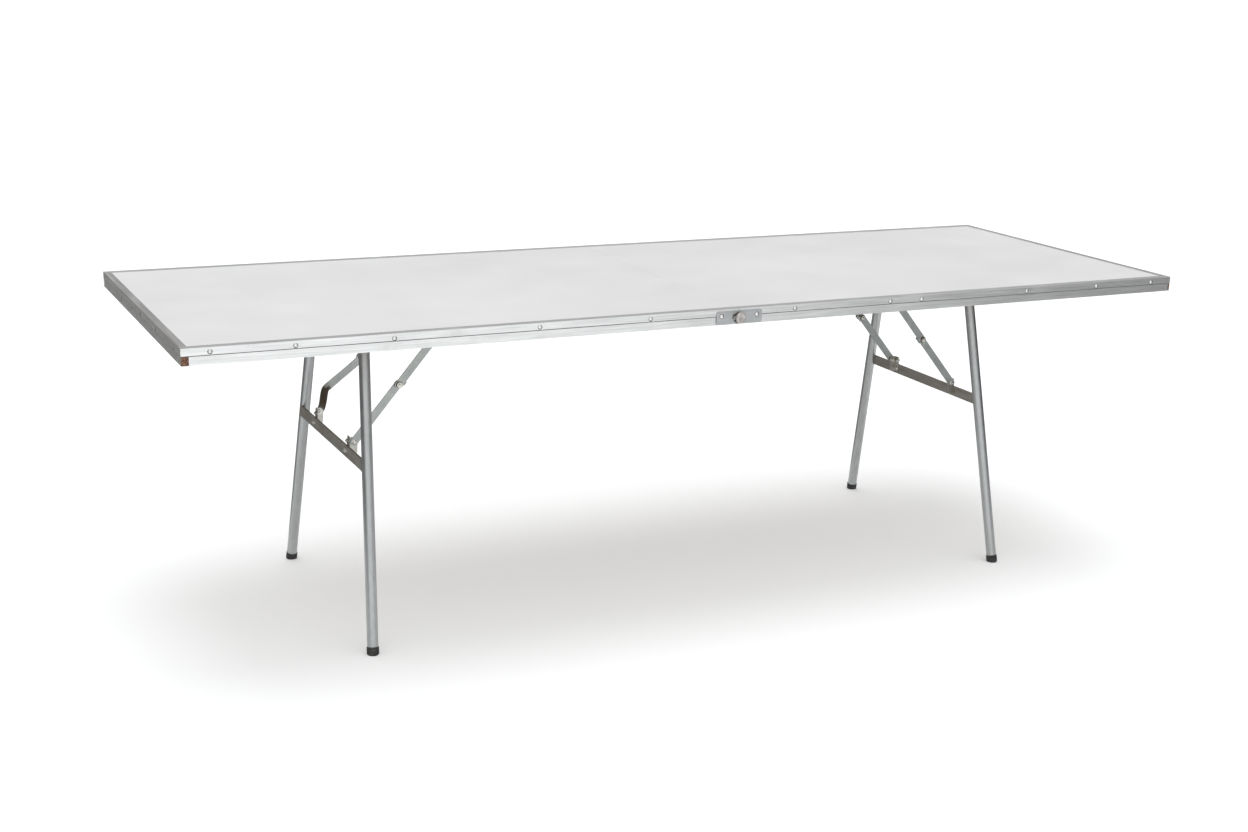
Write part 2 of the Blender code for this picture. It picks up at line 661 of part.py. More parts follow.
def hinge_leaf(side_name):
    """One leaf of the long hinge: a plate with tongues that run into its share of the knuckles."""
    side = SIDES[side_name]
    name = side_name + "_hinge_leaf"
    top = level(RAIL_BOTTOM + GAP)
    axis = level(HINGE_DEPTH)
    start = -HINGE_LENGTH / 2
    step = HINGE_LENGTH / HINGE_KNUCKLES
    clear = side * (HINGE_RADIUS + 2 * GAP)
    own = [i for i in range(HINGE_KNUCKLES) if i % 2 == (side > 0)]
    spans = [(start + step * i + GAP, start + step * (i + 1) - GAP) for i in own]
    outline = [(side * HINGE_LEAF_WIDTH, -start), (side * HINGE_LEAF_WIDTH, start), (clear, start)]
    for near, far in spans:
        tongue = (near + OVERLAP, far - OVERLAP)
        outline += [(clear, tongue[0]), (side * GAP, tongue[0]), (side * GAP, tongue[1]), (clear, tongue[1])]
    outline += [(clear, -start)]
    leaf = extrude(name, [outline], top - HINGE_LEAF_THICK, top, ZINC, None, Matrix.Identity(3))
    for near, far in spans:
        join(leaf, rod(name + "_knuckle", HINGE_RADIUS, (0, near, axis), (0, far, axis), ZINC, None,
                       HELPERS, 16))
    bore = rod(name + "_bore", HINGE_PIN_RADIUS + GAP, (0, start - CUT_MARGIN, axis),
               (0, -start + CUT_MARGIN, axis), ZINC, None, HELPERS, 12)
    cut(leaf, bore)


def centre_hinge():
    """Two leaves and the pin, under the seam."""
    for side_name in SIDES:
        hinge_leaf(side_name)
    reach = HINGE_LENGTH / 2 + 0.001
    rod("hinge_pin", HINGE_PIN_RADIUS, (0, -reach, level(HINGE_DEPTH)), (0, reach, level(HINGE_DEPTH)),
        ZINC, None, None, 12)


def main():
    for side_name in SIDES:
        top_half(side_name)
        table_end(side_name)
    for row_name in ROWS:
        latch(row_name)
    centre_hinge()


main()
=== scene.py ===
"""Looks of the folding table: materials, hardware, floor, light and camera."""

from math import atan2, cos, hypot, pi, radians, sin, tan

import bmesh
import bpy
from mathutils import Matrix, Vector, noise


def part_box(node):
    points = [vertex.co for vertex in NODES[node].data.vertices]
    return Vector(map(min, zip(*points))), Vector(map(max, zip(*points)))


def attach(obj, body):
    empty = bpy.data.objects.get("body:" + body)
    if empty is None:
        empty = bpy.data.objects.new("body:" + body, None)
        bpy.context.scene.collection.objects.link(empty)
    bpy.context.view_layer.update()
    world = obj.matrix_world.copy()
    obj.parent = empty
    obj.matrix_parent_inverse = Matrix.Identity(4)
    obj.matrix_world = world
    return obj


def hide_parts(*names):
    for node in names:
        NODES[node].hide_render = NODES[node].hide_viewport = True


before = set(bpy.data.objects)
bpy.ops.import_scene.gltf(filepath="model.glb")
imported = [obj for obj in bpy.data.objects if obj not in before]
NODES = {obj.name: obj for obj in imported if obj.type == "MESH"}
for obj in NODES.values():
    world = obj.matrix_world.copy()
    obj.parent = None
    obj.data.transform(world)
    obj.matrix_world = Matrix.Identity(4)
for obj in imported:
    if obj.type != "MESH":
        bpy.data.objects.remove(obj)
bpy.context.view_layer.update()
SIDES = {"left": -1, "right": 1}
ROWS = {"front": -1, "rear": 1}
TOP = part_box("left_end_edge_strip")[1].z

# Dimensions shared with the part, in metres
HALF_LENGTH = 1.250
HALF_WIDTH = 0.435
EDGE_HEIGHT = 0.036
GROOVE_TOP = 0.0160
GROOVE_WIDTH = 0.0011
PIVOT = Vector((0.802, 0, 0.7208))
FOOT_X = 0.836
TUBE_RADIUS = 0.0125
LEG_Y_TOP = 0.188
LEG_Y_FOOT = 0.340
BEND_RADIUS = 0.040
CAP_FLOOR = 0.006
CAP_HEIGHT = 0.0175
CAP_RADIUS = 0.0138
CROSSBAR_DROP = 0.3125
CROSSBAR_HEIGHT = 0.026
CROSSBAR_FACES = (0.0065, 0.0115)
BRACE_Y = 0.140
PIN_DROP = 0.288
PIN_OFFSET = 0.0034
SADDLE_Y = 0.112
LATCH_FACE = 0.4368
LATCH_RIVET_X = 0.045
LATCH_RIVET_DEPTH = 0.0160
KNOB_DEPTH = 0.021
HINGE_LEAF_X = 0.0165
BRACE_PIN = Vector((0.8122, 0, 0.4330))
KNUCKLE = Vector((0.7073, 0, 0.5580))
KNUCKLE_OUTER = 0.1474      # faces of the two straps at the knuckle, as places along Y
KNUCKLE_INNER = 0.1400
STRAP_THICKNESS = 0.0025
STRAP_WIDTH = 0.018
STRAP_ELBOW = Vector((0.7871, 0.031, 0.4791))    # Y is counted from the straight strap
FLANGE_Y = 0.1275
FLANGE_STEP = 0.0023        # from the crossbar's inner face to the inner face of a flange
FLANGE_BOLT_DROPS = (0.2885, 0.3095)
SCREW_PLATE = 0.002         # plates that the screws of saddles and top brackets hold
SADDLE_SCREW_X = 0.0222
TOP_BRACKET_SCREW_X = 0.0085
TOP_BRACKET_SCREW_Y = 0.1605
HINGE_SCREWS = 8
HINGE_SCREW_START = -0.315
HINGE_SCREW_STEP = 0.09
CEILING = 0.7335            # underside of the board, where brackets and saddles are screwed
SPLAY = atan2(FOOT_X - PIVOT.x, PIVOT.z)
FRAME_LENGTH = hypot(PIVOT.z, FOOT_X - PIVOT.x)

# Dome nails along the front edge, as places along X
NAILS = {
    "left": (-1.192, -1.019, -0.811, -0.486, -0.222),
    "right": (0.146, 0.405, 0.493, 0.800, 1.014, 1.188),
}
NAIL_DEPTH = 0.009
NAIL_RADIUS = 0.0044
RIVET_RADIUS = 0.0046
HEAD_HEIGHT = 0.0021
# Empty nail holes across the ends, drawn as dark spots of painted shade: place along Y, depth below the
# top, radius
END_HOLES = ((0.202, 0.0200, 0.0085), (0.084, 0.0200, 0.0050), (-0.024, 0.0130, 0.0080),
             (-0.187, 0.0130, 0.0080), (-0.370, 0.0130, 0.0060))

# Camera, matched to the reference view
CAMERA_PLACE = (-1.9446, -3.8989, TOP + 0.8078)
CAMERA_YAW = radians(25.65)
CAMERA_PITCH = radians(15.05)
CAMERA_ROLL = radians(1.47)
CAMERA_LENS = 51.72

WORLD_LEVEL = 0.66
BASE_LIGHT = 0.42
SUN_ENERGY = 0.92
SUN_ANGLE = radians(38)
FLOOR_COLOUR = (0.786, 0.80, 0.808)
FLOOR_GLOW = 0.26


# Building blocks

def mesh_object(name, shape, material):
    """Turn a bmesh into an object of one material."""
    mesh = bpy.data.meshes.new(name)
    shape.to_mesh(mesh)
    shape.free()
    mesh.materials.append(material)
    obj = bpy.data.objects.new(name, mesh)
    bpy.context.scene.collection.objects.link(obj)
    return obj


def smooth(obj, angle=35):
    """Smooth shading with the creases kept."""
    obj.data.shade_smooth()
    obj.data.set_sharp_from_angle(angle=radians(angle))


def mesh_piece(name, shape, material, body, replaces=(), angle=40):
    """Turn a bmesh into a piece with its material, body and the CAD nodes it stands for."""
    bmesh.ops.recalc_face_normals(shape, faces=shape.faces)
    obj = mesh_object(name, shape, MATERIALS[material])
    smooth(obj, angle)
    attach(obj, body)
    if replaces:
        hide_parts(*replaces)
    return obj


def axis_frame(centre, axis):
    """A frame at a point with its Z along an axis."""
    return Matrix.Translation(centre) @ Vector(axis).to_track_quat("Z", "Y").to_matrix().to_4x4()


def lathe(shape, profile, centre, axis, sides=24, wobble=0.0, seed=0):
    """Add a turned form: profile of (radius, height) from the axis outward, along an axis."""
    place = axis_frame(centre, axis)
    rings = []
    for radius, height in profile:
        if radius == 0:
            rings.append([shape.verts.new(place @ Vector((0, 0, height)))])
            continue
        ring = []
        for step in range(sides):
            angle = 2 * pi * step / sides
            place_in_noise = Vector((cos(angle), sin(angle), seed * 3.1 + height * 200))
            reach = radius * (1 + wobble * noise.noise(place_in_noise))
            ring.append(shape.verts.new(place @ Vector((reach * cos(angle), reach * sin(angle), height))))
        rings.append(ring)
    for inner, outer in zip(rings, rings[1:]):
        for step in range(sides):
            after = (step + 1) % sides
            if len(inner) == 1:
                shape.faces.new((inner[0], outer[step], outer[after]))
            elif len(outer) == 1:
                shape.faces.new((inner[step], outer[0], inner[after]))
            else:
                shape.faces.new((inner[step], outer[step], outer[after], inner[after]))


def skin(shape, rings):
    """Join a row of rings with equal counts into a closed form with flat ends."""
    count = len(rings[0])
    for inner, outer in zip(rings, rings[1:]):
        for step in range(count):
            after = (step + 1) % count
            shape.faces.new((inner[step], outer[step], outer[after], inner[after]))
    shape.faces.new(rings[0][::-1])
    shape.faces.new(rings[-1])


def prism(shape, outline, place, low, high):
    """Add an upright prism on an outline, between two heights of its own frame."""
    rings = []
    for height in (low, high):
        rings.append([shape.verts.new(place @ Vector((x, y, height))) for x, y in outline])
    skin(shape, rings)


def bevel(obj, width, angle=30):
    """Rounded edges on a piece or a carried-over node."""
    step = obj.modifiers.new("edges", "BEVEL")
    step.width = width
    step.segments = 2
    step.limit_method = "ANGLE"
    step.angle_limit = radians(angle)


# Materials

class Shade:
    """A Principled material that is built up from procedural layers in object space."""

    def __init__(self, name, metallic, roughness, specular=0.5):
        self.material = bpy.data.materials.new(name)
        self.material.use_nodes = True
        self.tree = self.material.node_tree
        self.shader = self.tree.nodes["Principled BSDF"]
        self.shader.inputs["Metallic"].default_value = metallic
        self.shader.inputs["Roughness"].default_value = roughness
        self.shader.inputs["Specular IOR Level"].default_value = specular
        self.coords = self.tree.nodes.new("ShaderNodeTexCoord").outputs["Object"]
        self.height = None

    def put(self, kind, inputs=None, **settings):
        node = self.tree.nodes.new(kind)
        for key, value in settings.items():
            setattr(node, key, value)
        for key, value in (inputs or {}).items():
            self.wire(value, node.inputs[key])
        return node

    def wire(self, value, socket):
        if isinstance(value, (int, float)):
            socket.default_value = value
        elif isinstance(value, tuple):
            needs_alpha = len(value) == 3 and len(socket.default_value) == 4
            socket.default_value = (*value, 1.0) if needs_alpha else value
        else:
            self.tree.links.new(value, socket)

    def space(self, stretch):
        """The object space, stretched."""
        inputs = {"Vector": self.coords, "Scale": stretch}
        return self.put("ShaderNodeMapping", inputs).outputs["Vector"]

    def noise(self, scale, stretch=(1, 1, 1), detail=4.0, rough=0.55, warp=0.0):
        inputs = {"Vector": self.space(stretch), "Scale": scale, "Detail": detail,
                  "Roughness": rough, "Distortion": warp}
        return self.put("ShaderNodeTexNoise", inputs).outputs["Fac"]

    def cells(self, scale, stretch):
        inputs = {"Vector": self.space(stretch), "Scale": scale}
        return self.put("ShaderNodeTexVoronoi", inputs).outputs["Color"]

    def ramp(self, value, *stops):
        node = self.put("ShaderNodeValToRGB", {"Fac": value})
        ramp = node.color_ramp
        while len(ramp.elements) < len(stops):
            ramp.elements.new(0.5)
        for element, (place, colour) in zip(ramp.elements, stops):
            element.position = place
            element.color = (*colour, 1.0)
        return node.outputs["Color"]

    def mask(self, value, low, high):
        inputs = {"Value": value, "From Min": low, "From Max": high}
        node = self.put("ShaderNodeMapRange", inputs, interpolation_type="SMOOTHSTEP")
        return node.outputs["Result"]

    def scale(self, value, low, high):
        inputs = {"Value": value, "To Min": low, "To Max": high}
        return self.put("ShaderNodeMapRange", inputs).outputs["Result"]

    def math(self, operation, a, b):
        node = self.put("ShaderNodeMath", operation=operation)
        self.wire(a, node.inputs[0])
        self.wire(b, node.inputs[1])
        return node.outputs["Value"]

    def mix(self, factor, a, b):
        node = self.put("ShaderNodeMix", data_type="RGBA")
        self.wire(factor, node.inputs["Factor"])
        self.wire(a, node.inputs["A"])
        self.wire(b, node.inputs["B"])
        return node.outputs["Result"]

    def tint(self, colour, where, strength, tone):
        """The colour, turned towards a tone where a mask allows it."""
        return self.mix(self.scale(where, 0.0, strength), colour, tone)

    def grey(self, colour):
        """The brightness of a colour."""
        return self.put("ShaderNodeRGBToBW", {"Color": colour}).outputs["Val"]

    def axis(self, name):
        """One coordinate of the object space."""
        return self.put("ShaderNodeSeparateXYZ", {"Vector": self.coords}).outputs[name]

    def band(self, value, middle, half):
        """One inside a narrow band round a value, falling to zero at its sides."""
        distance = self.math("ABSOLUTE", self.math("SUBTRACT", value, middle), 0.0)
        return self.mask(distance, half, half * 0.45)

    def spot(self, across, height, radius):
        """One inside a small round spot on an end face, given by its Y and Z."""
        side = self.math("POWER", self.math("SUBTRACT", self.axis("Y"), across), 2.0)
        rise = self.math("POWER", self.math("SUBTRACT", self.axis("Z"), height), 2.0)
        distance = self.math("SQRT", self.math("ADD", side, rise), 0.0)
        return self.mask(distance, radius, radius * 0.6)

    def bump(self, value, strength, distance):
        inputs = {"Strength": strength, "Distance": distance, "Height": value}
        node = self.put("ShaderNodeBump", inputs)
        if self.height is not None:
            self.wire(self.height, node.inputs["Normal"])
        self.height = node.outputs["Normal"]

    def done(self, colour, roughness):
        self.wire(colour, self.shader.inputs["Base Color"])
        self.wire(roughness, self.shader.inputs["Roughness"])
        self.wire(self.height, self.shader.inputs["Normal"])
        return self.material


ALONG_X = (0.03, 1, 1)
ALONG_Y = (1, 0.03, 1)
ALONG_Z = (1, 1, 0.03)


def white_laminate():
    """Satin white sheet: faint mottling, fine orange peel, smudges and hair scratches."""
    s = Shade("white_laminate", 0.0, 0.34, 0.35)
    cloud = s.noise(1.7, detail=3)
    colour = s.ramp(cloud, (0.30, (0.725, 0.725, 0.730)), (0.72, (0.785, 0.786, 0.790)))
    fleck = s.noise(240, detail=4, rough=0.7)
    colour = s.tint(colour, fleck, 0.16, (0.70, 0.70, 0.705))
    grime = s.mask(s.noise(5.0, detail=7, rough=0.7), 0.60, 0.85)
    colour = s.tint(colour, grime, 0.35, (0.70, 0.69, 0.665))
    scratch = s.mask(s.noise(90, stretch=(0.05, 1, 1), detail=2), 0.68, 0.74)
    colour = s.tint(colour, scratch, 0.18, (0.60, 0.60, 0.60))
    specks = s.mask(s.noise(160, detail=1), 0.74, 0.80)
    colour = s.tint(colour, specks, 0.35, (0.50, 0.48, 0.45))
    smudge = s.noise(7.0, detail=5, rough=0.6, warp=0.4)
    s.bump(s.noise(420, detail=2), 0.10, 0.0004)
    s.bump(s.noise(3.0, detail=2), 0.15, 0.004)
    return s.done(colour, s.scale(smudge, 0.26, 0.46))


def edge_aluminium(name, along, tone, lip_painted_light, spots=()):
    """Mill aluminium, drawn along its length: streaks and oxide patches, with painted shade in the groove
    and the empty nail holes, and a paler top lip of painted light.
    """
    s = Shade(name, 1.0, 0.36)
    streak = s.noise(260, stretch=along, detail=4, rough=0.6)
    fine = s.noise(1100, stretch=along, detail=2)
    patch = s.noise(9, detail=5, rough=0.65, warp=0.3)
    colour = s.ramp(streak, (0.25, tuple(0.80 * c for c in tone)), (0.75, tuple(1.16 * c for c in tone)))
    oxide = s.mask(patch, 0.50, 0.78)
    colour = s.tint(colour, oxide, 0.5, tuple(0.78 * c for c in tone))
    nick = s.mask(s.noise(240, detail=2), 0.70, 0.77)
    colour = s.tint(colour, nick, 0.5, (0.42, 0.41, 0.39))
    height = s.axis("Z")
    # Painted shade: the groove line and the empty nail holes are darkened, and made rougher and less
    # metallic, for the shade inside them.
    painted_groove_and_hole_shade = s.band(height, TOP - GROOVE_TOP - GROOVE_WIDTH / 2, GROOVE_WIDTH * 1.1)
    for place, depth, radius in spots:
        painted_groove_and_hole_shade = s.math("MAXIMUM", painted_groove_and_hole_shade, s.spot(place, TOP - depth, radius))
    colour = s.tint(colour, painted_groove_and_hole_shade, 0.88, (0.045, 0.040, 0.036))
    # Painted light: a paler, less metallic band along the top edge stands in for the light falling on the
    # top of the strip.
    lip = s.band(height, TOP, 0.0012)
    colour = s.tint(colour, lip, lip_painted_light, (0.62, 0.62, 0.61))
    cover = s.math("MAXIMUM", painted_groove_and_hole_shade, s.scale(lip, 0.0, lip_painted_light))
    s.wire(s.scale(cover, 1.0, 0.15), s.shader.inputs["Metallic"])
    s.bump(fine, 0.18, 0.0002)
    s.bump(streak, 0.16, 0.0004)
    s.bump(patch, 0.10, 0.002)
    rough = s.math("ADD", s.scale(streak, 0.24, 0.40), s.scale(oxide, 0.0, 0.16))
    return s.done(colour, s.math("ADD", rough, s.scale(painted_groove_and_hole_shade, 0.0, 0.4)))


def galvanised():
    """Zinc-coated tube: faint spangle, lengthwise streaks, grey bloom and small rust freckles."""
    s = Shade("galvanised_tube", 1.0, 0.30)
    grain = s.grey(s.cells(150, stretch=(1, 1, 0.5)))
    streak = s.noise(170, stretch=ALONG_Z, detail=4, rough=0.6)
    bloom = s.noise(9, stretch=(1, 1, 0.3), detail=5, rough=0.6, warp=0.4)
    colour = s.ramp(grain, (0.10, (0.395, 0.408, 0.410)), (0.90, (0.430, 0.443, 0.445)))
    colour = s.tint(colour, s.mask(streak, 0.40, 0.72), 0.22, (0.62, 0.635, 0.64))
    colour = s.tint(colour, s.mask(bloom, 0.52, 0.75), 0.35, (0.42, 0.42, 0.41))
    freckle = s.mask(s.noise(260, detail=3), 0.73, 0.79)
    colour = s.tint(colour, freckle, 0.6, (0.27, 0.22, 0.17))
    s.bump(streak, 0.012, 0.0002)
    grain_rough = s.scale(grain, 0.33, 0.37)
    bloom_rough = s.scale(s.mask(bloom, 0.45, 0.8), 0.0, 0.08)
    return s.done(colour, s.math("ADD", grain_rough, bloom_rough))


def dull_bar():
    """Weathered flat bar: brown-grey, drawn along its length, worn lighter in places."""
    s = Shade("dull_bar_steel", 0.85, 0.5)
    streak = s.noise(190, stretch=ALONG_Y, detail=5, rough=0.65)
    cloud = s.noise(22, stretch=(1, 0.4, 1), detail=6, rough=0.7)
    colour = s.ramp(streak, (0.25, (0.25, 0.235, 0.21)), (0.80, (0.42, 0.40, 0.37)))
    colour = s.tint(colour, s.mask(cloud, 0.50, 0.75), 0.6, (0.24, 0.19, 0.145))
    colour = s.tint(colour, s.mask(cloud, 0.52, 0.30), 0.35, (0.46, 0.455, 0.44))
    s.bump(streak, 0.22, 0.0005)
    s.bump(cloud, 0.10, 0.0015)
    return s.done(colour, s.scale(cloud, 0.40, 0.66))


def zinc(name, low, high, stain, along=(1, 1, 1), rough=(0.34, 0.52)):
    """Zinc plate: clouded, with fine rubbing marks and stain spots."""
    s = Shade(name, 1.0, 0.42)
    rub = s.noise(380, stretch=along, detail=4, rough=0.6)
    cloud = s.noise(40, detail=6, rough=0.65, warp=0.4)
    colour = s.ramp(cloud, (0.28, low), (0.72, high))
    polished = tuple(min(1.0, c * 1.25) for c in high)
    colour = s.tint(colour, s.mask(rub, 0.45, 0.70), 0.30, polished)
    spot = s.mask(s.noise(170, detail=4, rough=0.7), 0.62, 0.78)
    colour = s.tint(colour, spot, 0.65, stain)
    s.bump(rub, 0.14, 0.0003)
    s.bump(cloud, 0.12, 0.0008)
    return s.done(colour, s.scale(cloud, *rough))


def cast_knob():
    """Pitted cast steel with a worn, dusty face."""
    s = Shade("cast_knob_steel", 0.75, 0.55)
    pit = s.noise(420, detail=6, rough=0.75)
    cloud = s.noise(95, detail=5, rough=0.6)
    colour = s.ramp(cloud, (0.28, (0.27, 0.25, 0.235)), (0.70, (0.60, 0.58, 0.56)))
    colour = s.tint(colour, s.mask(pit, 0.55, 0.75), 0.75, (0.13, 0.10, 0.085))
    s.bump(pit, 0.55, 0.0006)
    s.bump(cloud, 0.35, 0.0012)
    return s.done(colour, s.scale(pit, 0.38, 0.72))


def black_rubber():
    """Black rubber: fine grain, dust in the pores and upright grey scuffs."""
    s = Shade("black_rubber", 0.0, 0.7, 0.35)
    grain = s.noise(900, detail=3)
    dust = s.noise(70, detail=6, rough=0.7)
    colour = s.ramp(dust, (0.35, (0.016, 0.016, 0.017)), (0.80, (0.075, 0.072, 0.068)))
    scuff = s.mask(s.noise(160, stretch=(1, 1, 0.25), detail=4), 0.62, 0.74)
    colour = s.tint(colour, scuff, 0.6, (0.17, 0.165, 0.155))
    s.bump(grain, 0.25, 0.0004)
    s.bump(dust, 0.20, 0.0008)
    return s.done(colour, s.scale(dust, 0.55, 0.85))


def softwood(name, along):
    """Raw pine rails: stretched growth rings, fibre, and darker knots."""
    s = Shade(name, 0.0, 0.75, 0.25)
    warp = s.noise(6, stretch=along, detail=3, warp=1.2)
    inputs = {"Vector": s.space((along[0] * 2, along[1] * 2, 1)), "Scale": 90, "Distortion": 9,
              "Detail": 3, "Detail Scale": 1.4}
    wave = s.put("ShaderNodeTexWave", inputs, wave_type="BANDS", bands_direction="Z", wave_profile="SAW")
    ring = wave.outputs["Fac"]
    fibre = s.noise(600, stretch=along, detail=4, rough=0.7)
    colour = s.ramp(ring, (0.10, (0.58, 0.40, 0.22)), (0.55, (0.50, 0.33, 0.17)),
                    (0.95, (0.33, 0.19, 0.085)))
    colour = s.tint(colour, fibre, 0.45, (0.64, 0.48, 0.30))
    knot = s.mask(s.noise(14, stretch=along, detail=2), 0.68, 0.78)
    colour = s.tint(colour, knot, 0.8, (0.17, 0.09, 0.045))
    grime = s.mask(warp, 0.45, 0.75)
    colour = s.tint(colour, grime, 0.4, (0.27, 0.21, 0.155))
    s.bump(fibre, 0.35, 0.0008)
    s.bump(ring, 0.12, 0.0005)
    return s.done(colour, s.scale(fibre, 0.62, 0.88))


def chipboard():
    """Pressed chips of several browns, with a rough, open face."""
    s = Shade("chipboard", 0.0, 0.85, 0.2)
    tone = s.grey(s.cells(230, stretch=(0.6, 1, 1)))
    small = s.noise(320, detail=5, rough=0.7)
    colour = s.ramp(tone, (0.10, (0.215, 0.170, 0.128)), (0.45, (0.265, 0.218, 0.168)),
                    (0.85, (0.335, 0.285, 0.225)))
    colour = s.tint(colour, s.mask(small, 0.5, 0.75), 0.6, (0.22, 0.12, 0.06))
    stain = s.mask(s.noise(3.2, detail=5, rough=0.6), 0.52, 0.74)
    colour = s.tint(colour, stain, 0.35, (0.20, 0.15, 0.11))
    s.bump(tone, 0.35, 0.0008)
    s.bump(small, 0.40, 0.0010)
    return s.done(colour, s.scale(small, 0.75, 0.95))


def torn_wood():
    """Dark, splintered wood with reddish crumbs of board and pale fresh fibres."""
    s = Shade("torn_wood", 0.0, 0.85, 0.2)
    fibre = s.noise(520, stretch=(0.3, 1, 1), detail=6, rough=0.75)
    crumb = s.noise(300, detail=5, rough=0.7)
    colour = s.ramp(fibre, (0.32, (0.055, 0.026, 0.018)), (0.50, (0.22, 0.115, 0.075)),
                    (0.70, (0.42, 0.27, 0.19)))
    colour = s.mix(s.mask(crumb, 0.50, 0.60), colour, (0.035, 0.018, 0.013))
    s.bump(fibre, 0.7, 0.0012)
    return s.done(colour, s.scale(crumb, 0.7, 0.95))


def make_materials():
    """Every material of the pieces and of the carried-over nodes, by a short key."""
    return {
        "sheet": white_laminate(),
        "strip_long": edge_aluminium("edge_aluminium_long", ALONG_X, (0.735, 0.74, 0.735), 0.35),
        # The end strips are the same aluminium in a lighter tone: painted light, which makes up for the
        # darker reflections on the end faces.
        "strip_end": edge_aluminium("edge_aluminium_end", ALONG_Y, (0.84, 0.83, 0.805), 0.0, END_HOLES),
        "tube": galvanised(),
        "bar": dull_bar(),
        "link": zinc("brace_zinc", (0.30, 0.315, 0.305), (0.43, 0.45, 0.435), (0.20, 0.185, 0.155)),
        "bright": zinc("bright_zinc", (0.42, 0.41, 0.375), (0.72, 0.71, 0.67), (0.14, 0.115, 0.085),
                       rough=(0.16, 0.30)),
        # A darker copy of the brace zinc: painted shade for the bent link below its bend.
        "painted_shade_link": zinc("painted_shade_link_zinc", (0.12, 0.112, 0.10), (0.215, 0.20, 0.185), (0.07, 0.055, 0.04)),
        "bracket": zinc("bracket_zinc", (0.30, 0.295, 0.27), (0.55, 0.54, 0.51), (0.12, 0.10, 0.075),
                        rough=(0.22, 0.38)),
        "plate": zinc("plate_zinc", (0.38, 0.39, 0.395), (0.50, 0.51, 0.515), (0.25, 0.23, 0.20),
                      ALONG_X, (0.30, 0.46)),
        "nail": zinc("nail_steel", (0.60, 0.60, 0.59), (0.84, 0.84, 0.83), (0.50, 0.47, 0.43),
                     rough=(0.34, 0.46)),
        # Dark rings of painted shade round the bases of nail heads, rivets and nuts.
        "grime": zinc("painted_shade_rings", (0.055, 0.050, 0.045), (0.12, 0.11, 0.10), (0.03, 0.02, 0.015),
                      rough=(0.45, 0.65)),
        # Dark plate behind the knobs, partly a painted shadow.
        "dark": zinc("dark_steel", (0.10, 0.095, 0.09), (0.20, 0.19, 0.18), (0.06, 0.04, 0.03),
                     rough=(0.45, 0.65)),
        "knob": cast_knob(),
        "weld": zinc("weld_bead", (0.14, 0.13, 0.12), (0.34, 0.33, 0.31), (0.10, 0.06, 0.04),
                     rough=(0.42, 0.60)),
        "splinter": torn_wood(),
        "rubber": black_rubber(),
        "rail_long": softwood("pine_along_x", ALONG_X),
        "rail_cross": softwood("pine_along_y", ALONG_Y),
        "board": chipboard(),
    }


MATERIALS = make_materials()


def dress(node, key):
    """Give a carried-over CAD node its material."""
    obj = NODES[node]
    obj.data.materials.clear()
    obj.data.materials.append(MATERIALS[key])


# Carried-over nodes

def dress_top(side):
    """Materials and rounded edges on one half of the top."""
    dress(side + "_white_sheet", "sheet")
    dress(side + "_top_board", "board")
    for place in ("front", "rear"):
        dress(side + "_" + place + "_rail", "rail_long")
        dress(side + "_" + place + "_edge_strip", "strip_long")
    for place in ("end", "seam"):
        dress(side + "_" + place + "_rail", "rail_cross")
    dress(side + "_end_edge_strip", "strip_end")
    dress(side + "_hinge_leaf", "link")
    smooth(NODES[side + "_hinge_leaf"])
    for place in ("front", "rear", "end"):
        bevel(NODES[side + "_" + place + "_edge_strip"], 0.0004)
    for place in ("front", "rear", "end", "seam"):
        bevel(NODES[side + "_" + place + "_rail"], 0.0012)


def dress_braces(side, row):
    """Materials, smooth shading and rounded edges on one brace and its brackets."""
    for part in ("leg_saddle", "top_bracket", "crossbar_bracket", "lower_link", "upper_link"):
        node = side + "_" + row + "_" + part
        dress(node, "bracket" if part == "crossbar_bracket" else "link")
        smooth(NODES[node])
        bevel(NODES[node], 0.0004, 40)


def dress_nodes():
    """The looks of the CAD nodes that stay."""
    for side in SIDES:
        dress_top(side)
        dress(side + "_crossbar", "bar")
        bevel(NODES[side + "_crossbar"], 0.0008)
        for row in ROWS:
            dress_braces(side, row)
            plate = row + "_" + side + "_latch_plate"
            dress(plate, "plate")
            bevel(NODES[plate], 0.0003)
    dress("hinge_pin", "nail")
    smooth(NODES["hinge_pin"])


# Frames of reference

def end_frame(side_name):
    """Frame of one end: at the leg pivot, +X outward."""
    side = SIDES[side_name]
    turn = Matrix.Rotation(0 if side > 0 else pi, 4, "Z")
    return Matrix.Translation((side * PIVOT.x, 0, PIVOT.z)) @ turn


def leg_frame(side_name):
    """Frame of one leg frame: as the end's, with -Z down the splayed legs."""
    return end_frame(side_name) @ Matrix.Rotation(-SPLAY, 4, "Y")


def leg_direction(row):
    """Unit vector down one leg, in the leg frame."""
    return Vector((0, row * (LEG_Y_FOOT - LEG_Y_TOP), -FRAME_LENGTH)).normalized()


def leg_y(drop):
    """Half the distance between the two legs at a distance down the frame."""
    return LEG_Y_TOP + (LEG_Y_FOOT - LEG_Y_TOP) * drop / FRAME_LENGTH


def local_rows(side_name):
    """The sign of each row in the end frame of one side."""
    return {row_name: row * SIDES[side_name] for row_name, row in ROWS.items()}


# Legs

